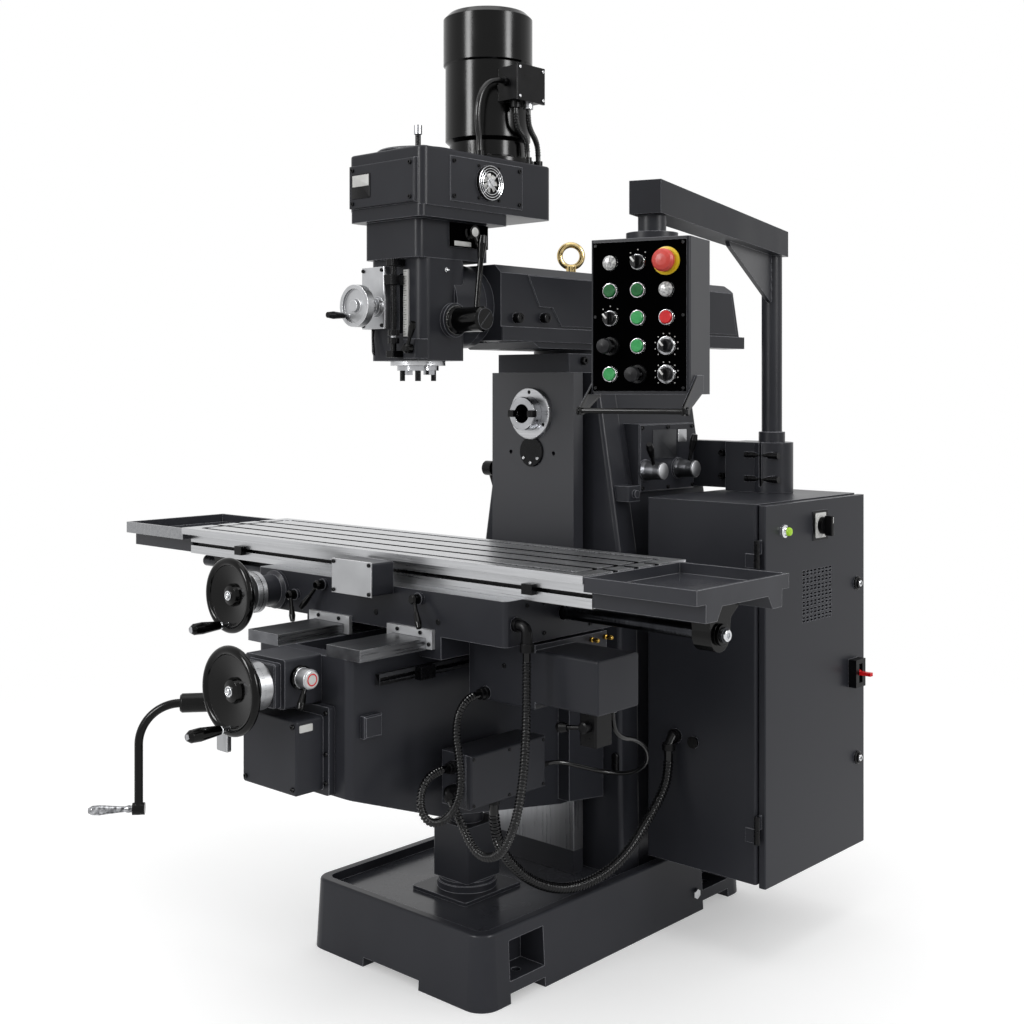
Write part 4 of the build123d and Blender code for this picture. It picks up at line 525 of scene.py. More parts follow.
def panel_place(across, height, out=0.0):
    """Point at a place across and up the pendant's panel, moved out from its face."""
    return PENDANT + across * PANEL_ACROSS + (PANEL_FACE + out) * PANEL_OUT + np.array((0, 0, height))


def control_place(control, out=0.0):
    """Point at a control's column and row on the panel."""
    return panel_place(PANEL_COLUMNS[control[0]], PANEL_ROWS[control[1]], out)


def before_panel(low, high=1.0):
    """Test for triangles between two distances out of the panel's face, above the guard bar."""

    def test(x, y, z):
        out = (x - PENDANT[0]) * PANEL_OUT[0] + (y - PENDANT[1]) * PANEL_OUT[1] - PANEL_FACE
        return (out > low) & (out < high) & (z > PANEL_FOOT)

    return test


def near_control(control, radius, low, high):
    """Test for triangles within a radius of a control and between two distances out of the panel."""
    centre, between = control_place(control), before_panel(low, high)

    def test(x, y, z):
        across = (x - centre[0]) * PANEL_ACROSS[0] + (y - centre[1]) * PANEL_ACROSS[1]
        return (np.hypot(across, z - centre[2]) < radius) & between(x, y, z)

    return test


CONTROLS = {
    "selector_1": ((1, 0), moulded_black), "emergency_stop": ((2, 0), pale_red_moulding),
    "green_button_1": ((0, 1), dark_green_cap), "green_button_2": ((1, 1), dark_green_cap),
    "selector_2": ((0, 2), moulded_black), "green_button_3": ((1, 2), light_green_cap),
    "red_button": ((2, 2), red_moulding), "joystick_1": ((0, 3), soft_rubber),
    "green_button_4": ((1, 3), light_green_cap), "speed_knob_1": ((2, 3), moulded_black),
    "green_button_5": ((0, 4), light_green_cap), "joystick_2": ((1, 4), soft_rubber),
    "speed_knob_2": ((2, 4), moulded_black),
}
LAMPS, STOP = ((0, 0), (2, 1)), CONTROLS["emergency_stop"][0]
plated = [place for place, finish in CONTROLS.values() if finish is not soft_rubber and place != STOP]
# The same enamel sprayed dry on the arm's beam, with less of a mirror.
dry_enamel = make_finish(
    "graphite_enamel_dry", "grey_paint", "26272b 2b2c31 8c8d94", 220, (0.40, 0.48),
    grain=2.2, relief=0.02, edge=1.4, specular=0.05,
)
BEAM_FOOT = 1.545
dress("pendant_arm", graphite_enamel, (dry_enamel, crate(z=(BEAM_FOOT, 2))))
dress(
    "pendant_box", powder_coat,
    (panel_film, before_panel(-0.0028)),
    (moulded_black, before_panel(0.0003)),
    *((chrome_painted_reflections, near_control(place, 0.0182, 0.0003, 0.006)) for place in (*plated, *LAMPS)),
    (yellow_moulding, near_control(STOP, 0.0225, 0.0003, 0.006)),
    *((lamp_lens, near_control(place, 0.0132, 0.0045, 0.012)) for place in LAMPS),
    (gloss_enamel, crate(z=(1.0, PANEL_FOOT - 0.0004))),
)
for control, (place, finish) in CONTROLS.items():
    dress(control, finish)
stop_ring = turned([(19.5, 0), (25, 0), (25, 3), (19.5, 4)], 48)
fit_piece("stop_ring", stop_ring, control_place(STOP), PANEL_OUT, yellow_moulding, "pendant", looped=True)
panel_screws = [panel_place(x, z) for x in (-0.086, 0.081) for z in (1.2335, 1.361, 1.4885)]
add_screws("panel_screws", panel_screws, PANEL_OUT, "pendant", 2.8, 1.6, lobes=4)
guard_bolt = hexagon([(6.5, 0), (6.5, 4), (5.5, 5)])
for side, across, out in (("left", -0.1035, -PANEL_ACROSS), ("right", 0.0985, PANEL_ACROSS)):
    fit_piece(
        f"guard_bolt_{side}", guard_bolt, panel_place(across, 1.193, 0.032), out, black_oxide, "pendant",
    )
scale_dot = turned([(1, 0), (1, 0.3), (0.8, 0.4)], 10)
for control, angles in (
    ("selector_1", (50, 90, 130)), ("selector_2", (50, 90, 130)),
    ("speed_knob_1", np.arange(-45, 226, 30)), ("speed_knob_2", np.arange(-45, 226, 30)),
):
    place = CONTROLS[control][0]
    dots = circle_places(control_place(place), 0.0218, angles, PANEL_ACROSS, UP)
    fit_piece(f"{control}_dots", scale_dot, dots, PANEL_OUT, white_plate, "pendant")
    lean = np.array(UP) - 0.8 * PANEL_ACROSS
    mark = control_place(place, 0.0218) + 0.0040 * lean / np.linalg.norm(lean)
    fit_piece(
        f"{control}_mark", slab(3.6, 11, 0.5, 0.8, 0.2), mark, PANEL_OUT, white_plate, control, up=lean,
    )
GUSSET_EDGE = np.array((0.3915, 0.4060, 1.437))
bead_height = np.linspace(0, 106, 80)
bead = turned(np.column_stack([3 + 0.9 * np.sin(bead_height / 3.5), bead_height]), 10)
fit_piece("gusset_weld", bead, GUSSET_EDGE, UP, graphite_enamel, "arm", up=BACK)


# Knee and what is bolted to it
# The knee is a hollow casting whose box ways on top are ground. The feed gearbox, front cover and crank
# bearing are painted castings on its front; rail, dog and junction box are screwed to its right side.
# The ways are ground lengthwise and wet with oil, so they look darker than the table.
oiled_way = make_finish(
    "steel_ground_way_oil", "steel", "86878a 969799 d0d1d3", 4, (0.24, 0.34),
    grain=0.8, relief=0.006, edge=0.5, metallic=1.0, stretch=(1, 0.03, 1),
)
# Their tops are scraped and hold the most oil, so they mirror little.
scraped_way = make_finish(
    "steel_scraped_oiled", "steel", "3e3f42 4e4f52 c8c9cb", 6, (0.30, 0.40),
    grain=1.2, relief=0.01, edge=0.8, metallic=0.8, specular=0.2, stretch=(1, 0.12, 1),
)
WAY_Z, WAY_SIDES = (0.7165, 0.7405), ((-1, -0.0745), (0.0745, 1))
dress(
    "knee", graphite_enamel,
    *((oiled_way, crate(x=side, z=WAY_Z)) for side in WAY_SIDES),
    *((dull_steel, crate(side, (-0.69, -0.6805), WAY_Z)) for side in WAY_SIDES),
    *((scraped_way, crate(x=side, z=(0.7399, 0.7405))) for side in WAY_SIDES),
)
dress(
    "knee_covers", graphite_enamel,
    (dark_plate, crate((0.1398, 0.1522), (-0.62, -0.3635), (0.6595, 0.6825))),
    (black_oxide, crate((0.1458, 0.1518), (-0.62, -0.3635), (0.6665, 0.6755))),
    (black_oxide, crate((0.1518, 0.2), (-0.53, -0.47), (0.655, 0.6845))),
)
dress(
    "junction_box", powder_coat,
    (moulded_black, crate(x=(0.18, 1), z=(0, 0.4058))),
    (moulded_black, crate(x=(0.18, 1), y=(-1, -0.4643))),
    (moulded_black, crate(x=(0.18, 1), y=(-0.2407, 1))),
)
LID_FACE = 0.2516
add_screws(
    "junction_lid_screws", grid(LID_FACE, (-0.456, -0.3525, -0.249), (0.4135, 0.5045)), RIGHT, "knee_group",
    3.6, 2.6, lobes=4,
)
front_screws = [(x, -0.7608, z) for x in (-0.072, 0.072) for z in (0.476, 0.594)]
front_screws += [(0.0915, -0.6960, z) for z in (0.478, 0.534, 0.612)]
add_screws("front_cover_screws", front_screws, FORWARD, "knee_group", 4.8, 4)
fit_piece(
    "front_cover_plate", slab(32, 14, 1, 2, 0.3), (0.083, -0.738, 0.590), RIGHT, white_plate, "knee_group",
)
fit_piece(
    "crank_bracket", slab(36, 80, 10, 4, 2), (-0.156, -0.748, 0.547), FORWARD, satin_aluminium,
    "knee_group",
)


# Handwheels and crank
# Both wheels are polished phenolic on steel hubs, held by a bright nut; their dials are turned and
# engraved. The crank is enamelled steel with a plated grip that spins on its pin.


def ticks(centre, out, across, radius, count, every, short, tall, width):
    """Marks round a drum: thin bars along the drum's axis at equal angles, every so many drawn tall.

    Each bar is a slab whose width, length and height are scaled, laid on the drum facing outwards.
    """
    angle = np.arange(count)[:, None] / count * 2 * pi
    out, across = np.asarray(out, float), np.asarray(across, float)
    radial = np.cos(angle) * across + np.sin(angle) * np.cross(out, across)
    length = np.where(np.arange(count) % every == 0, tall, short)[:, None, None, None]
    wide, long, high = (slab(1, 1, 1, 0.05, 0.02)[None, ..., axis : axis + 1] for axis in range(3))
    shape = wide * width * np.cross(radial, out)[:, None, None] + (long + 0.5) * length * out
    return np.asarray(centre) + shape + (radius + high * 0.0003) * radial[:, None, None]


WHEELS = {
    "cross_handwheel": ((0, -0.851, 0.666), (-0.002, -0.069), -0.7854, 0.0445),
    "table_handwheel": ((-0.310, -0.628, 0.788), (-0.005, -0.062), -0.5584, 0.0442),
}
for wheel, ((wheel_x, wheel_y, wheel_z), (grip_x, grip_z), dial_y, dial_radius) in WHEELS.items():
    grip = (wheel_x + grip_x, wheel_z + grip_z)
    dress(
        wheel, polished_phenolic,
        (satin_aluminium, disc(1, (wheel_x, wheel_z), 0.05, low=wheel_y + 0.0282)),
        (turned_steel, disc(1, grip, 0.0052, high=wheel_y - 0.003)),
    )
    nut = [(10.6, -1), (10.6, 2.4), (9.8, 3.2), (8.4, 2.6), (7.8, 0.4)]
    nut += [(6.2, 0.4), (6, 5), (5, 5.8), (3.4, 4)]
    fit_piece(
        f"{wheel}_nut", turned(nut), (wheel_x, wheel_y - 0.002, wheel_z), FORWARD, chrome_plate, wheel,
    )
    collar = turned([(8, 0), (8.6, 1), (8.6, 4), (8, 5)])
    fit_piece(
        f"{wheel}_grip_collar", collar, (grip[0], wheel_y - 0.0165, grip[1]), FORWARD, chrome_plate, wheel,
    )
    dial_edge = (wheel_x, dial_y - 0.0125, wheel_z)
    marks = ticks(dial_edge, FORWARD, RIGHT, dial_radius, 60, 5, 0.005, 0.0095, 0.0005)
    add_piece(f"{wheel}_dial_marks", marks, black_oxide, wheel)
    # A black band round the dial: painted shade where the dial steps between its turned rings.
    shade_band = band(1000 * dial_radius - 1, 1000 * dial_radius + 0.4, 0, 3, 48)
    fit_piece(
        f"{wheel}_dial_shade_band", shade_band, (wheel_x, dial_y - 0.0092, wheel_z), FORWARD, black_oxide, wheel,
        looped=True,
    )
CRANK_EYE, CRANK_OUT = (-0.2645, -0.8785), (-0.64, -0.7684)


def crank_grip(x, y, z):
    """Test for the crank's grip: low down and beyond the eye along the crank's axis."""
    along = (x - CRANK_EYE[0]) * CRANK_OUT[0] + (y - CRANK_EYE[1]) * CRANK_OUT[1]
    return (along > 0.0125) & (z < 0.430)


dress("knee_crank", gloss_enamel, (chrome_painted_reflections, crank_grip))


# Feed selector knob
# A turned knob with a bare white face and a red ring, on the right of the feed gearbox.
KNOB, KNOB_FACE = (-0.735, 0.683), 0.0974
dress("feed_knob", polished_phenolic, (satin_aluminium, disc(0, KNOB, 0.0195, low=0.0695)))
knob_disc = turned([(15, -0.2), (15, 0.4), (14.6, 0.7)])
fit_piece("feed_knob_face", knob_disc, (KNOB_FACE, *KNOB), RIGHT, white_plate, "feed_knob")
red_ring = band(9.5, 11.8, 0.5, 1.1)
fit_piece("feed_knob_ring", red_ring, (KNOB_FACE, *KNOB), RIGHT, red_moulding, "feed_knob", looped=True)


# Saddle and its fittings
# A scraped casting between knee and table. Way wipers are bright frames that hold felt, the trip box has a
# satin plate on black socket screws, and brass oil taps stand on the feed box.
# Cold-drawn strip steel: bright, almost white, with faint lengthwise lines.
bright_steel = make_finish(
    "steel_strip_bright", "steel", "c6c7c9 d2d3d5 f2f2f3", 10, (0.30, 0.40),
    grain=0.8, relief=0.005, edge=0.6, metallic=0.7, stretch=(0.2, 1, 1),
)
dress(
    "saddle", graphite_enamel,
    (ground_steel, crate(z=(0.8315, 1))),
    (moulded_black, crate(x=(0.3772, 1))),
)
dress(
    "saddle_fittings", graphite_enamel,
    (bright_steel, crate(x=(-0.19, 0.19), z=(0.7, 0.7575))),
    (satin_aluminium, crate((-0.050, 0.072), (-0.57, -0.5602), (0.81, 0.9))),
)
add_screws(
    "trip_plate_screws", grid((-0.043, 0.065), -0.563, (0.821, 0.879)), FORWARD, "saddle_group", 4.2, 3.2,
)
wiper_screws = ((0.090, 0.7495), (0.156, 0.7495), (0.1805, 0.729))
wiper_screws = [(side * x, -0.509, z) for side in (-1, 1) for x, z in wiper_screws]
add_screws("wiper_screws", wiper_screws, FORWARD, "saddle_group", 4.2, 3)
plug_disc = turned([(6.2, 0), (6.2, 1), (5.2, 1.8)])
fit_piece(
    "saddle_plugs", plug_disc, grid((0.0154, 0.1965), -0.500, 0.7735), FORWARD, moulded_black,
    "saddle_group",
)
add_screws(
    "saddle_end_screws", grid(0.377, (-0.440, -0.390, -0.250), (0.760, 0.818)), RIGHT, "saddle_group", 4, 3,
)
dress(
    "feed_box", graphite_enamel,
    (moulded_black, crate(y=(-1, -0.4203))),
    (moulded_black, crate(z=(0, 0.6145))),
)
add_screws("feed_box_screw", (0.300, -0.420, 0.690), FORWARD, "saddle_group", 4.8, 3)
# Brass, turned and left bare: warm yellow with a slight tarnish.
bare_brass = make_finish(
    "brass_turned", "silver", "8f6f2c b08d3e e0c47c", 6, (0.20, 0.34),
    grain=0.8, relief=0.01, edge=0.5, metallic=1.0,
)
tap = [(5.2, 0), (5.2, 5), (3.4, 6), (3.4, 11), (4.6, 12), (4.6, 18)]
fit_piece(
    "oil_taps", turned([*tap, (3.2, 20)], 20), grid(0.380, (-0.250, -0.206), 0.728), RIGHT, bare_brass,
    "saddle_group",
)
dress("feed_lever", moulded_black)
for lock in ("table_lock_left", "table_lock_right", "saddle_lock"):
    dress(lock, polished_phenolic)


# Table, end trays and feed screw
# The table is a planed and ground casting; its T-slots and the groove along its front are black, painted
# shade in these recesses. Catch trays are screwed to its ends. The feed screw runs below it in two black
# end brackets.
TABLE_TOP, SLOTS = 0.895, (-0.387, -0.323, -0.259)
dress(
    "table", ground_steel,
    (oiled_way, crate(z=(0.8895, TABLE_TOP - 0.0001))),
    (ground_steel, crate(x=(-0.71, -0.7005), z=(0.83, 0.9))),
    (ground_steel, crate(y=(-0.49, -0.4825))),
    (ground_steel, crate(y=(-0.1635, -0.1))),
    # Black oxide in the T-slots and, below, in the groove along the front: painted shade in these recesses.
    *((black_oxide, crate(y=(y - 0.0119, y + 0.0119), z=(0.8715, TABLE_TOP - 0.0001))) for y in SLOTS),
    (black_oxide, crate(y=(-0.4558, -0.4435), z=(0.8505, 0.8595))),
)
dress("end_trays", sheen_painted_enamel, (oiled_way, crate((-1, -0.7), (-0.49, -0.4795), (0.865, 0.9))))
FEED_LINE = (-0.330, 0.793)
# Rolled thread under oil: near black, with fine rings of about 4 mm round it and a broken line of light.
rolled_thread = make_finish(
    "steel_rolled_thread_oiled", "steel", "242528 36373a 77787b", 30, (0.20, 0.28),
    grain=4, relief=0.6, edge=0.5, metallic=1.0, stretch=(1, 0.02, 0.02),
)
dress(
    "table_screw", rolled_thread,
    *((polished_phenolic, crate(x=bracket)) for bracket in ((-0.7545, -0.7025), (0.7015, 0.7505))),
    (black_oxide, crate(y=(-1, -0.4555))),
)
add_screws("feed_screw_end", (0.7535, *FEED_LINE), RIGHT, "table_group", 11, 6, finish=chrome_plate)


# Turret, ram and lifting eye
# The ram slides on a dovetail on the turret and is held by clamp bolts; its eye is zinc plated and
# passivated.
# Yellow zinc plate: pale gold with a faint rainbow bloom.
yellow_zinc = make_finish(
    "zinc_plated_passivated", "silver", "b09a66 cdb787 f2e8cc", 12, (0.16, 0.26),
    grain=1, relief=0.01, edge=0.6, metallic=1.0,
)
dress("turret", graphite_enamel, (oiled_way, crate(x=(-0.07, 0.07), z=(1.3352, 2))))
dress(
    "ram", graphite_enamel,
    (black_oxide, crate((0.1132, 0.2), (-0.3, -0.07), (1.367, 1.405))),
    (yellow_zinc, disc(2, (0, 0.142), 0.04, low=1.5003)),
)
clamp_sockets = [(0.1235, y, z) for y, z in ((-0.177, 1.385), (-0.087, 1.388))]
add_screws("ram_clamp_sockets", clamp_sockets, RIGHT, "ram", 10.8, 3)


# Head: quill housing, gearcase and motor
# Two painted castings carry a flange motor, smooth and enamelled gloss black. A fan behind a wire guard
# cools the gearcase; covers are held by socket screws, and the drawbar comes out of the top.
SPINDLE_LINE, FAN = (0, -0.366), (-0.269, 1.668)
FAN_FACE, GEARCASE_SIDE, GEARCASE_FRONT = 0.123, 0.116, -0.473
dress(
    "head_casing", graphite_enamel,
    (black_oxide, disc(2, SPINDLE_LINE, 0.0065, low=1.7352)),
    (turned_steel, disc(2, SPINDLE_LINE, 0.0090, low=1.7722)),
    (black_oxide, disc(0, FAN, 0.0385, low=0.1163)),
    (satin_aluminium, disc(0, FAN, 0.0112, low=0.1195)),
    (moulded_black, disc(2, (0.102, -0.283), 0.0095, low=1.7272)),
    (moulded_black, disc(2, (0.100, -0.092), 0.0105, low=1.7272)),
    (panel_film, crate((0.0843, 0.1), (-0.3565, -0.2435), (1.5295, 1.5805))),
)
dress(
    "motor", gloss_enamel,
    (moulded_black, crate(x=(0.0965, 1), z=(1.84, 1.94))),
    (satin_aluminium, disc(2, (0.122, -0.150), 0.0115, 1.8415, 1.8572)),
)
blades = []
for turn in np.arange(7) / 7 * 2 * pi:
    radial, around = np.array((0, cos(turn), sin(turn))), np.array((0, -sin(turn), cos(turn)))
    blade = slab(10.5, 10.5, 1.2, 2, 0.3)
    middle = np.array((FAN_FACE - 0.0036, *FAN)) + 0.0152 * radial
    blades.append(at_places(blade, [middle], np.array((1.0, 0, 0)) + 0.35 * around, radial))
add_piece("fan_rotor", np.concatenate(blades), white_plate, "head")
wire_angle = np.arange(8) / 8 * 2 * pi
for number, ring in enumerate((25, 30.5, 36), 1):
    wire = turned(np.column_stack([ring + 0.8 * np.cos(wire_angle), 0.8 * np.sin(wire_angle)]), 48)
    fit_piece(
        f"fan_guard_ring_{number}", wire, (FAN_FACE + 0.0004, *FAN), RIGHT, chrome_plate, "head",
        looped=True,
    )
spoke = slab(1.6, 74, 1.2, 0.6, 0.3)
for number, lean in enumerate(((0, 1, 1), (0, -1, 1)), 1):
    fit_piece(
        f"fan_guard_spoke_{number}", spoke, (FAN_FACE + 0.0004, *FAN), RIGHT, chrome_plate, "head", up=lean,
    )
fan_screws = [(GEARCASE_SIDE, FAN[0] + y, FAN[1] + z) for y in (-0.031, 0.031) for z in (-0.034, 0.034)]
add_screws("fan_screws", fan_screws, RIGHT, "head", 3.4, 3)
add_screws(
    "gearcase_side_screws", grid(GEARCASE_SIDE, (-0.374, -0.172), (1.631, 1.704)), RIGHT, "head", 4.5, 3.5,
)
add_screws(
    "gearcase_front_screws", grid((-0.088, 0.088), GEARCASE_FRONT, (1.622, 1.692)), FORWARD, "head", 4.5,
    3.5,
)
fit_piece(
    "gearcase_plate_frame", slab(58, 52, 1.5, 3, 0.5), (-0.061, GEARCASE_FRONT, 1.657), FORWARD,
    moulded_black, "head",
)
fit_piece(
    "gearcase_plate", slab(51, 24, 0.6, 1, 0.2), (-0.061, GEARCASE_FRONT - 0.0015, 1.6685), FORWARD,
    white_plate, "head",
)
MOTOR_Y = -0.149
flange_bolts = circle_places((0, MOTOR_Y, 1.738), 0.0955, np.arange(15, 375, 30), RIGHT, BACK)
flange_bolt = hexagon([(4.8, -1), (4.8, 4), (4, 5)])
fit_piece("motor_flange_bolts", flange_bolt, flange_bolts, UP, black_oxide, "head", up=BACK)
add_screws(
    "terminal_lid_screws", grid(0.141, (-0.198, -0.123), (1.862, 1.925)), RIGHT, "head", 3.4, 2.4,
    finish=satin_aluminium, lobes=4,
)
fit_piece(
    "range_plate_strip", slab(50, 10, 0.8, 1, 0.3), (0.090, -0.322, 1.537), RIGHT, white_plate, "head",
)


# Feed unit, depth stop and quill
# The fine feed unit is a satin aluminium box on black socket screws; a white scale with engraved marks
# stands beside the depth rod. Quill and spindle are ground, with black cap screws in the nose.
DEPTH_ROD = (0.020, -0.455)
dress(
    "head_fittings", black_oxide,
    (satin_aluminium, crate(x=(-1, -0.0115))),
    (satin_aluminium, disc(2, DEPTH_ROD, 0.0125, 1.3375, 1.3415)),
    (white_plate, crate((0.0285, 0.05), (-0.4365, -0.4), (1.3395, 1.4795))),
)
add_screws("feed_unit_screws", grid((-0.077, -0.019), -0.452, (1.364, 1.480)), FORWARD, "head", 4, 3.5)
scale_marks = np.arange(1.345, 1.476, 0.005)
for name, every, length in (("fine", 1, 0.005), ("tenths", 2, 0.009)):
    fit_piece(
        f"depth_scale_{name}", slab(1000 * length, 0.8, 0.3, 0.3, 0.1),
        grid(0.0295 + length / 2, -0.436, scale_marks[::every]), FORWARD, black_oxide, "head",
    )
dress("quill", ground_steel, (black_oxide, crate(y=(-1, -0.4255), z=(1.44, 2))))
nose_screws = [(x, SPINDLE_LINE[1] + y) for x in (-0.0233, 0.0233) for y in (-0.0233, 0.0233)]
dress(
    "spindle", turned_steel,
    *((black_oxide, disc(2, screw, 0.0058, high=1.2692)) for screw in nose_screws),
)
dress("quill_lever", polished_phenolic)
DRUM_LINE, DRUM_CAP = (-0.346, 1.375), 0.1790
lever_marks = ticks((0.0945, *DRUM_LINE), RIGHT, BACK, 0.0301, 60, 5, 0.003, 0.006, 0.0006)
add_piece("quill_lever_marks", lever_marks, white_plate, "quill_lever")
ring = band(21.2, 22.6, 0, 1.2, 40)
fit_piece("quill_lever_ring", ring, (DRUM_CAP, *DRUM_LINE), RIGHT, dark_plate, "quill_lever", looped=True)
fit_piece(
    "quill_lever_slot", slab(2, 40, 0.6, 0.6, 0.2), (DRUM_CAP, *DRUM_LINE), RIGHT, dark_plate,
    "quill_lever", up=(0, 1, 1),
)
dress("fine_feed_wheel", satin_aluminium, (moulded_black, disc(1, (-0.059, 1.383), 0.009, high=-0.516)))
trip_lever = turned([(3.4, -4), (3.4, 4), (2.6, 20), (3.6, 48), (2.4, 56)], 16)
trip_lever[..., 0] -= 0.0032 * np.maximum(trip_lever[..., 2], 0) ** 2
fit_piece(
    "feed_trip_lever", trip_lever, (-0.060, -0.440, 1.357), (0, -0.12, -1), black_oxide, "head", up=BACK,
)
dress("quill_lock", polished_phenolic)
lock_ring = band(8.5, 11.2, 0, 3)
fit_piece("quill_lock_ring", lock_ring, (0.066, -0.4335, 1.314), FORWARD, bare_brass, "head", looped=True)
dress("range_knob", polished_phenolic)
knob_cap = turned([(9.8, -0.2), (9.8, 0.5), (9.2, 0.8)])
fit_piece("range_knob_face", knob_cap, (0.1084, -0.303, 1.562), RIGHT, white_plate, "range_knob")
nipple = turned([(5.2, 0), (5.2, 3), (3.5, 4), (3.2, 7), (1.8, 9)])
fit_piece("oil_nipple", nipple, (0.083, -0.365, 1.4795), RIGHT, chrome_plate, "head")


# Hoses and cables
# Ribbed polyamide conduits and plain sheathed cables, pushed into nylon glands at both ends. Those that
# cross a slide hang in a free loop, so that the knee and saddle can travel.
# Polyamide conduit: black, with a paler tone painted on each rib's crest as its highlight.
conduit_polyamide = make_finish(
    "polyamide_conduit", "hose", "020203 040405 46464a", 20, (0.12, 0.18),
    grain=1, relief=0.005, edge=0.6, specular=0.28,
)
# Rubber sheath: black, wiped clean, with one soft line of light.
rubber_sheath = make_finish(
    "rubber_cable_sheath", "hose", "060607 0a0a0b 303032", 20, (0.18, 0.26),
    grain=1.2, relief=0.005, edge=0.3, specular=0.35,
)
# Diameter, pitch of the ribs (0 for a smooth sheath), steady direction of the rings, and route of each,
# in millimetres.
HOSES = {
    "saddle_conduit": (18, 6.6, BACK, [
        (405, -472, 738), (405, -472, 676), (409, -478, 594), (408, -484, 512), (398, -489, 436),
        (376, -492, 378), (350, -493, 348), (318, -493, 336), (284, -491, 344), (247, -488, 390),
        (220, -488, 426),
    ]),
    "feed_conduit": (17, 6.4, RIGHT, [
        (250, -438, 630), (250, -468, 630), (250, -498, 604), (252, -507, 564), (254, -499, 516),
        (255, -494, 474), (253, -500, 436), (247, -520, 406), (238, -547, 396), (228, -568, 410),
        (217, -570, 442), (209, -550, 472), (206, -514, 486), (206, -482, 484),
    ]),
    "feed_cable": (9, 0, UP, [
        (238, -223, 447), (238, -196, 447), (262, -160, 436), (318, -128, 424), (384, -120, 432),
        (438, -138, 468), (474, -190, 516), (492, -252, 548), (499, -302, 560), (498, -330, 584),
        (498, -330, 616),
    ]),
    "cabinet_conduit": (23, 7.4, RIGHT, [
        (212, -356, 388), (212, -356, 336), (214, -326, 272), (226, -262, 208), (246, -180, 172),
        (268, -95, 176), (292, -24, 214), (310, 32, 284), (324, 72, 340), (329, 85, 388), (329, 85, 432),
    ]),
    "motor_cable": (12, 0, RIGHT, [
        (107, -215, 1896), (107, -246, 1896), (107, -278, 1872), (107, -294, 1832), (105, -293, 1792),
        (102, -283, 1762), (102, -283, 1737),
    ]),
    "motor_conduit_right": (13, 5.6, RIGHT, [
        (122, -150, 1842), (122, -150, 1818), (119, -140, 1798), (104, -103, 1781), (100, -92, 1760),
        (100, -92, 1737),
    ]),
    "motor_conduit_left": (13, 5.6, RIGHT, [
        (114, -182, 1842), (114, -182, 1818), (111, -172, 1798), (101, -136, 1783), (98, -126, 1766),
        (98, -126, 1742),
    ]),
}


def hose_line(name, route):
    """Points along the smooth line whose control points are the hose's route."""
    curve = bpy.data.curves.new(name, "CURVE")
    curve.dimensions = "3D"
    spline = curve.splines.new("NURBS")
    spline.points.add(len(route) - 1)
    spline.points.foreach_set("co", np.column_stack([route, np.ones(len(route))]).ravel())
    spline.order_u = 3
    spline.use_endpoint_u = True
    spline.resolution_u = 24
    holder = bpy.data.objects.new(name, curve)
    line = bpy.data.meshes.new_from_object(holder)
    points = np.empty(len(line.vertices) * 3)
    line.vertices.foreach_get("co", points)
    bpy.data.objects.remove(holder)
    return points.reshape(-1, 3)


def hose_rings(line, diameter, pitch, steady):
    """Rings of a hose carried along its line; ribs swell it as 0.5 + 0.5 tanh(2 sin(2 pi s / pitch))."""
    along = np.concatenate([[0], np.cumsum(np.linalg.norm(np.diff(line, axis=0), axis=1))])
    step = pitch / 8 if pitch else 0.004
    station = np.linspace(0, along[-1], int(along[-1] / step) + 1)
    centre = np.stack([np.interp(station, along, line[:, axis]) for axis in range(3)], -1)
    ahead = np.gradient(centre, axis=0)
    ahead /= np.linalg.norm(ahead, axis=1)[:, None]
    side = np.cross(steady, ahead)
    side /= np.linalg.norm(side, axis=1)[:, None]
    up = np.cross(ahead, side)
    radius = np.full(len(station), diameter / 2)
    if pitch:
        wave = 0.5 + 0.5 * np.tanh(2 * np.sin(2 * pi * station / pitch))
        cuff = np.minimum(station, along[-1] - station) < diameter
        radius *= np.where(cuff, 0.84, 0.78 + 0.22 * wave)
    angle = np.arange(20) / 20 * 2 * pi
    ring = np.cos(angle)[:, None] * side[:, None] + np.sin(angle)[:, None] * up[:, None]
    return centre[:, None] + radius[:, None, None] * ring


def add_hose(name, node, ends):
    """Make one hose over its CAD solid and hide the solid: it rides on the one body given, or on none when
    two are given.
    """
    diameter, pitch, steady, route = HOSES[name]
    diameter, pitch = diameter / 1000, pitch / 1000
    route = (np.array(route) / 1000).tolist()
    line = hose_line(name, route)
    rings = hose_rings(line, diameter, pitch, steady)
    finish = conduit_polyamide if pitch else rubber_sheath
    piece = add_piece(name, rings[None], finish, ends[0] if len(ends) == 1 else None)
    if len(ends) == 2:
        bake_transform(piece)
    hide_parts(node)


add_hose("saddle_conduit", "saddle_hoses", ("saddle_group", "knee_group"))
add_hose("feed_conduit", "saddle_hoses", ("saddle_group", "knee_group"))
add_hose("feed_cable", "saddle_hoses", ("knee_group", "saddle_group"))
add_hose("cabinet_conduit", "cabinet_hose", ("knee_group", "frame"))
for lead in ("motor_cable", "motor_conduit_right", "motor_conduit_left"):
    add_hose(lead, "motor_leads", ("head",))


# Studio
# White paper floor that runs out into the white background, a large soft box overhead and two upright ones
# in front and at the right, each before a card that only gloss mirrors. The camera stands level.
floor_mesh = bpy.data.meshes.new("floor")
FLOOR_HALF = 30.0
corners = [(x * FLOOR_HALF, y * FLOOR_HALF, 0) for x, y in ((-1, -1), (1, -1), (1, 1), (-1, 1))]
floor_mesh.from_pydata(corners, [], [(0, 1, 2, 3)])
floor = add_object("floor", floor_mesh)
paper = bpy.data.materials.new("paper_white")
paper.use_nodes = True
floor_mesh.materials.append(paper)
sheet = paper.node_tree.nodes["Principled BSDF"].inputs
sheet["Roughness"].default_value = 0.9
sheet["Specular IOR Level"].default_value = 0.0
sheet["Emission Color"].default_value = (1, 1, 1, 1)


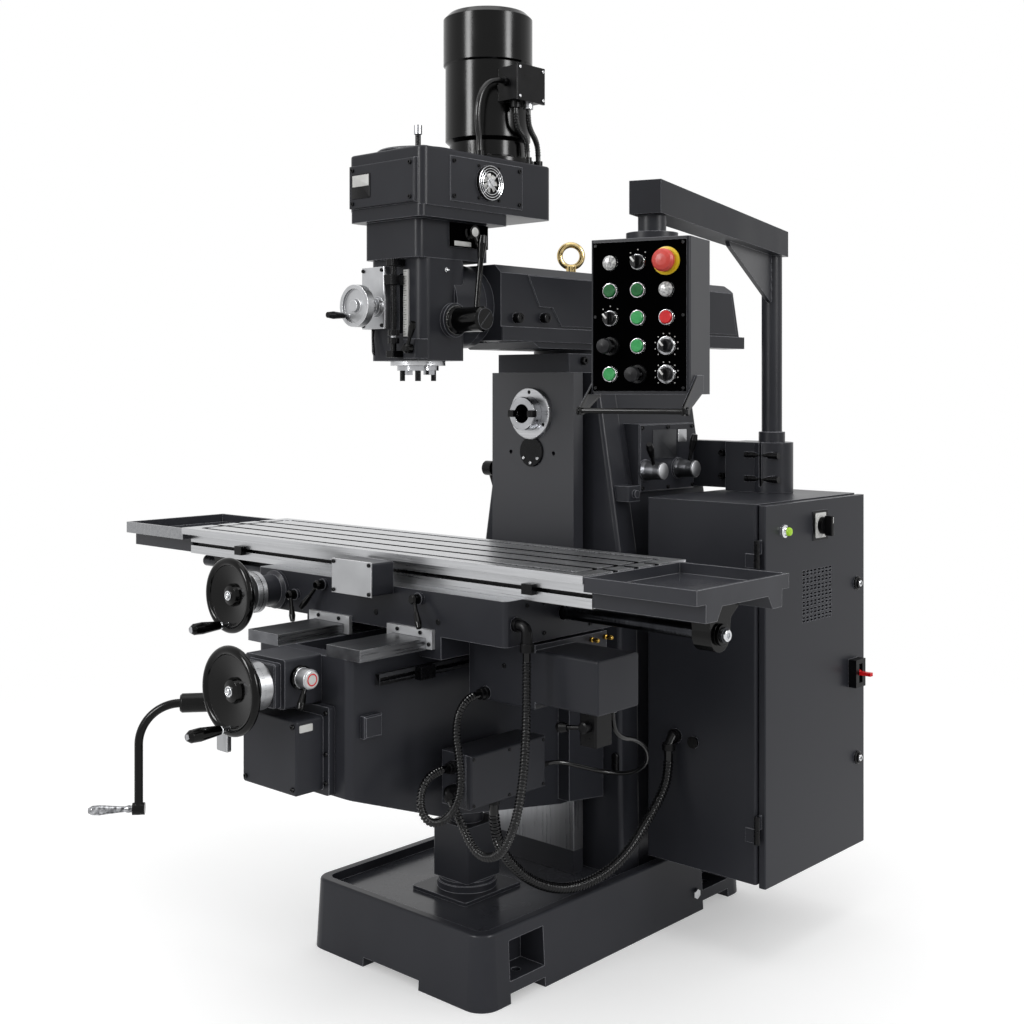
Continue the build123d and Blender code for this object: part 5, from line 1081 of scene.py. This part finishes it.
def seen_directly(holder):
    """Share of a ray that the camera, a mirror or glass sees: 1 for those rays, 0 for light that lands."""
    path = add_node(holder, "LightPath", {})
    seen = {0: path["Is Camera Ray"], 1: path["Is Glossy Ray"]}
    seen = add_node(holder, "Math", seen, operation="MAXIMUM")[0]
    seen = {0: seen, 1: path["Is Transmission Ray"]}
    return add_node(holder, "Math", seen, operation="MAXIMUM")[0]


PAPER_LIFT = 0.35
spot = add_node(paper, "TexCoord", {})["Object"]
away = add_node(paper, "VectorMath", {0: spot}, operation="LENGTH")["Value"]
fade = {"Value": away, "From Min": 1.0, "From Max": 3.2}
fade = add_node(paper, "MapRange", fade, interpolation_type="SMOOTHSTEP")["Result"]
tone = add_node(paper, "Mix", {0: fade, 6: linear("e8e8e8"), 7: (0, 0, 0, 1)}, data_type="RGBA")[2]
lift = add_node(paper, "MapRange", {"Value": fade, "To Min": PAPER_LIFT, "To Max": 1.0})["Result"]
lift = add_node(paper, "Math", {0: seen_directly(paper), 1: lift}, operation="MULTIPLY")[0]
paper.node_tree.links.new(tone, sheet["Base Color"])
paper.node_tree.links.new(lift, sheet["Emission Strength"])
world = bpy.data.worlds.new("studio")
bpy.context.scene.world = world
world.use_nodes = True
FILL = 0.78
glow = add_node(world, "MapRange", {"Value": seen_directly(world), "To Min": FILL, "To Max": 1.0})["Result"]
backdrop = world.node_tree.nodes["Background"].inputs
world.node_tree.links.new(glow, backdrop["Strength"])
backdrop["Color"].default_value = (1, 1, 1, 1)
SOFT_BOXES = {
    "overhead": ((0.2, -0.6, 4.4), (0.1, -0.1, 0.9), 3.0, 3.0, 42, True),
    "front_box": ((-0.5, -4.4, 2.3), (0, -0.2, 1.2), 0.22, 2.8, 24, True),
    "right_box": ((4.4, 0.3, 2.3), (0.1, -0.1, 1.2), 0.22, 2.8, 24, True),
    "front_card": ((-0.6, -4.5, 3.2), (0, -0.2, 1.2), 1.2, 2.2, 210, False),
    "right_card": ((4.5, 0.4, 3.2), (0.1, -0.1, 1.2), 1.2, 2.2, 190, False),
}
for name, (place, target, width, height, watts, lights_paint) in SOFT_BOXES.items():
    lamp = bpy.data.lights.new(name, "AREA")
    lamp.shape = "RECTANGLE"
    lamp.size, lamp.size_y, lamp.energy = width, height, watts
    box = add_object(name, lamp)
    box.location = place
    box.rotation_euler = (Vector(target) - Vector(place)).to_track_quat("-Z", "Y").to_euler()
    box.visible_diffuse = lights_paint
# The camera is the one solved from the photograph: level, its horizon set by the shift.
CAMERA_AZIMUTH = 42.35
camera = bpy.data.cameras.new("camera")
camera.sensor_width, camera.lens, camera.shift_y = 36.0, 48.19, -0.1234
tripod = add_object("camera", camera)
tripod.location = (2.1162, -2.3903, 1.2377)
tripod.rotation_euler = (pi / 2, 0, radians(CAMERA_AZIMUTH))
bpy.context.scene.camera = tripod
bpy.context.scene.view_settings.view_transform = "Standard"
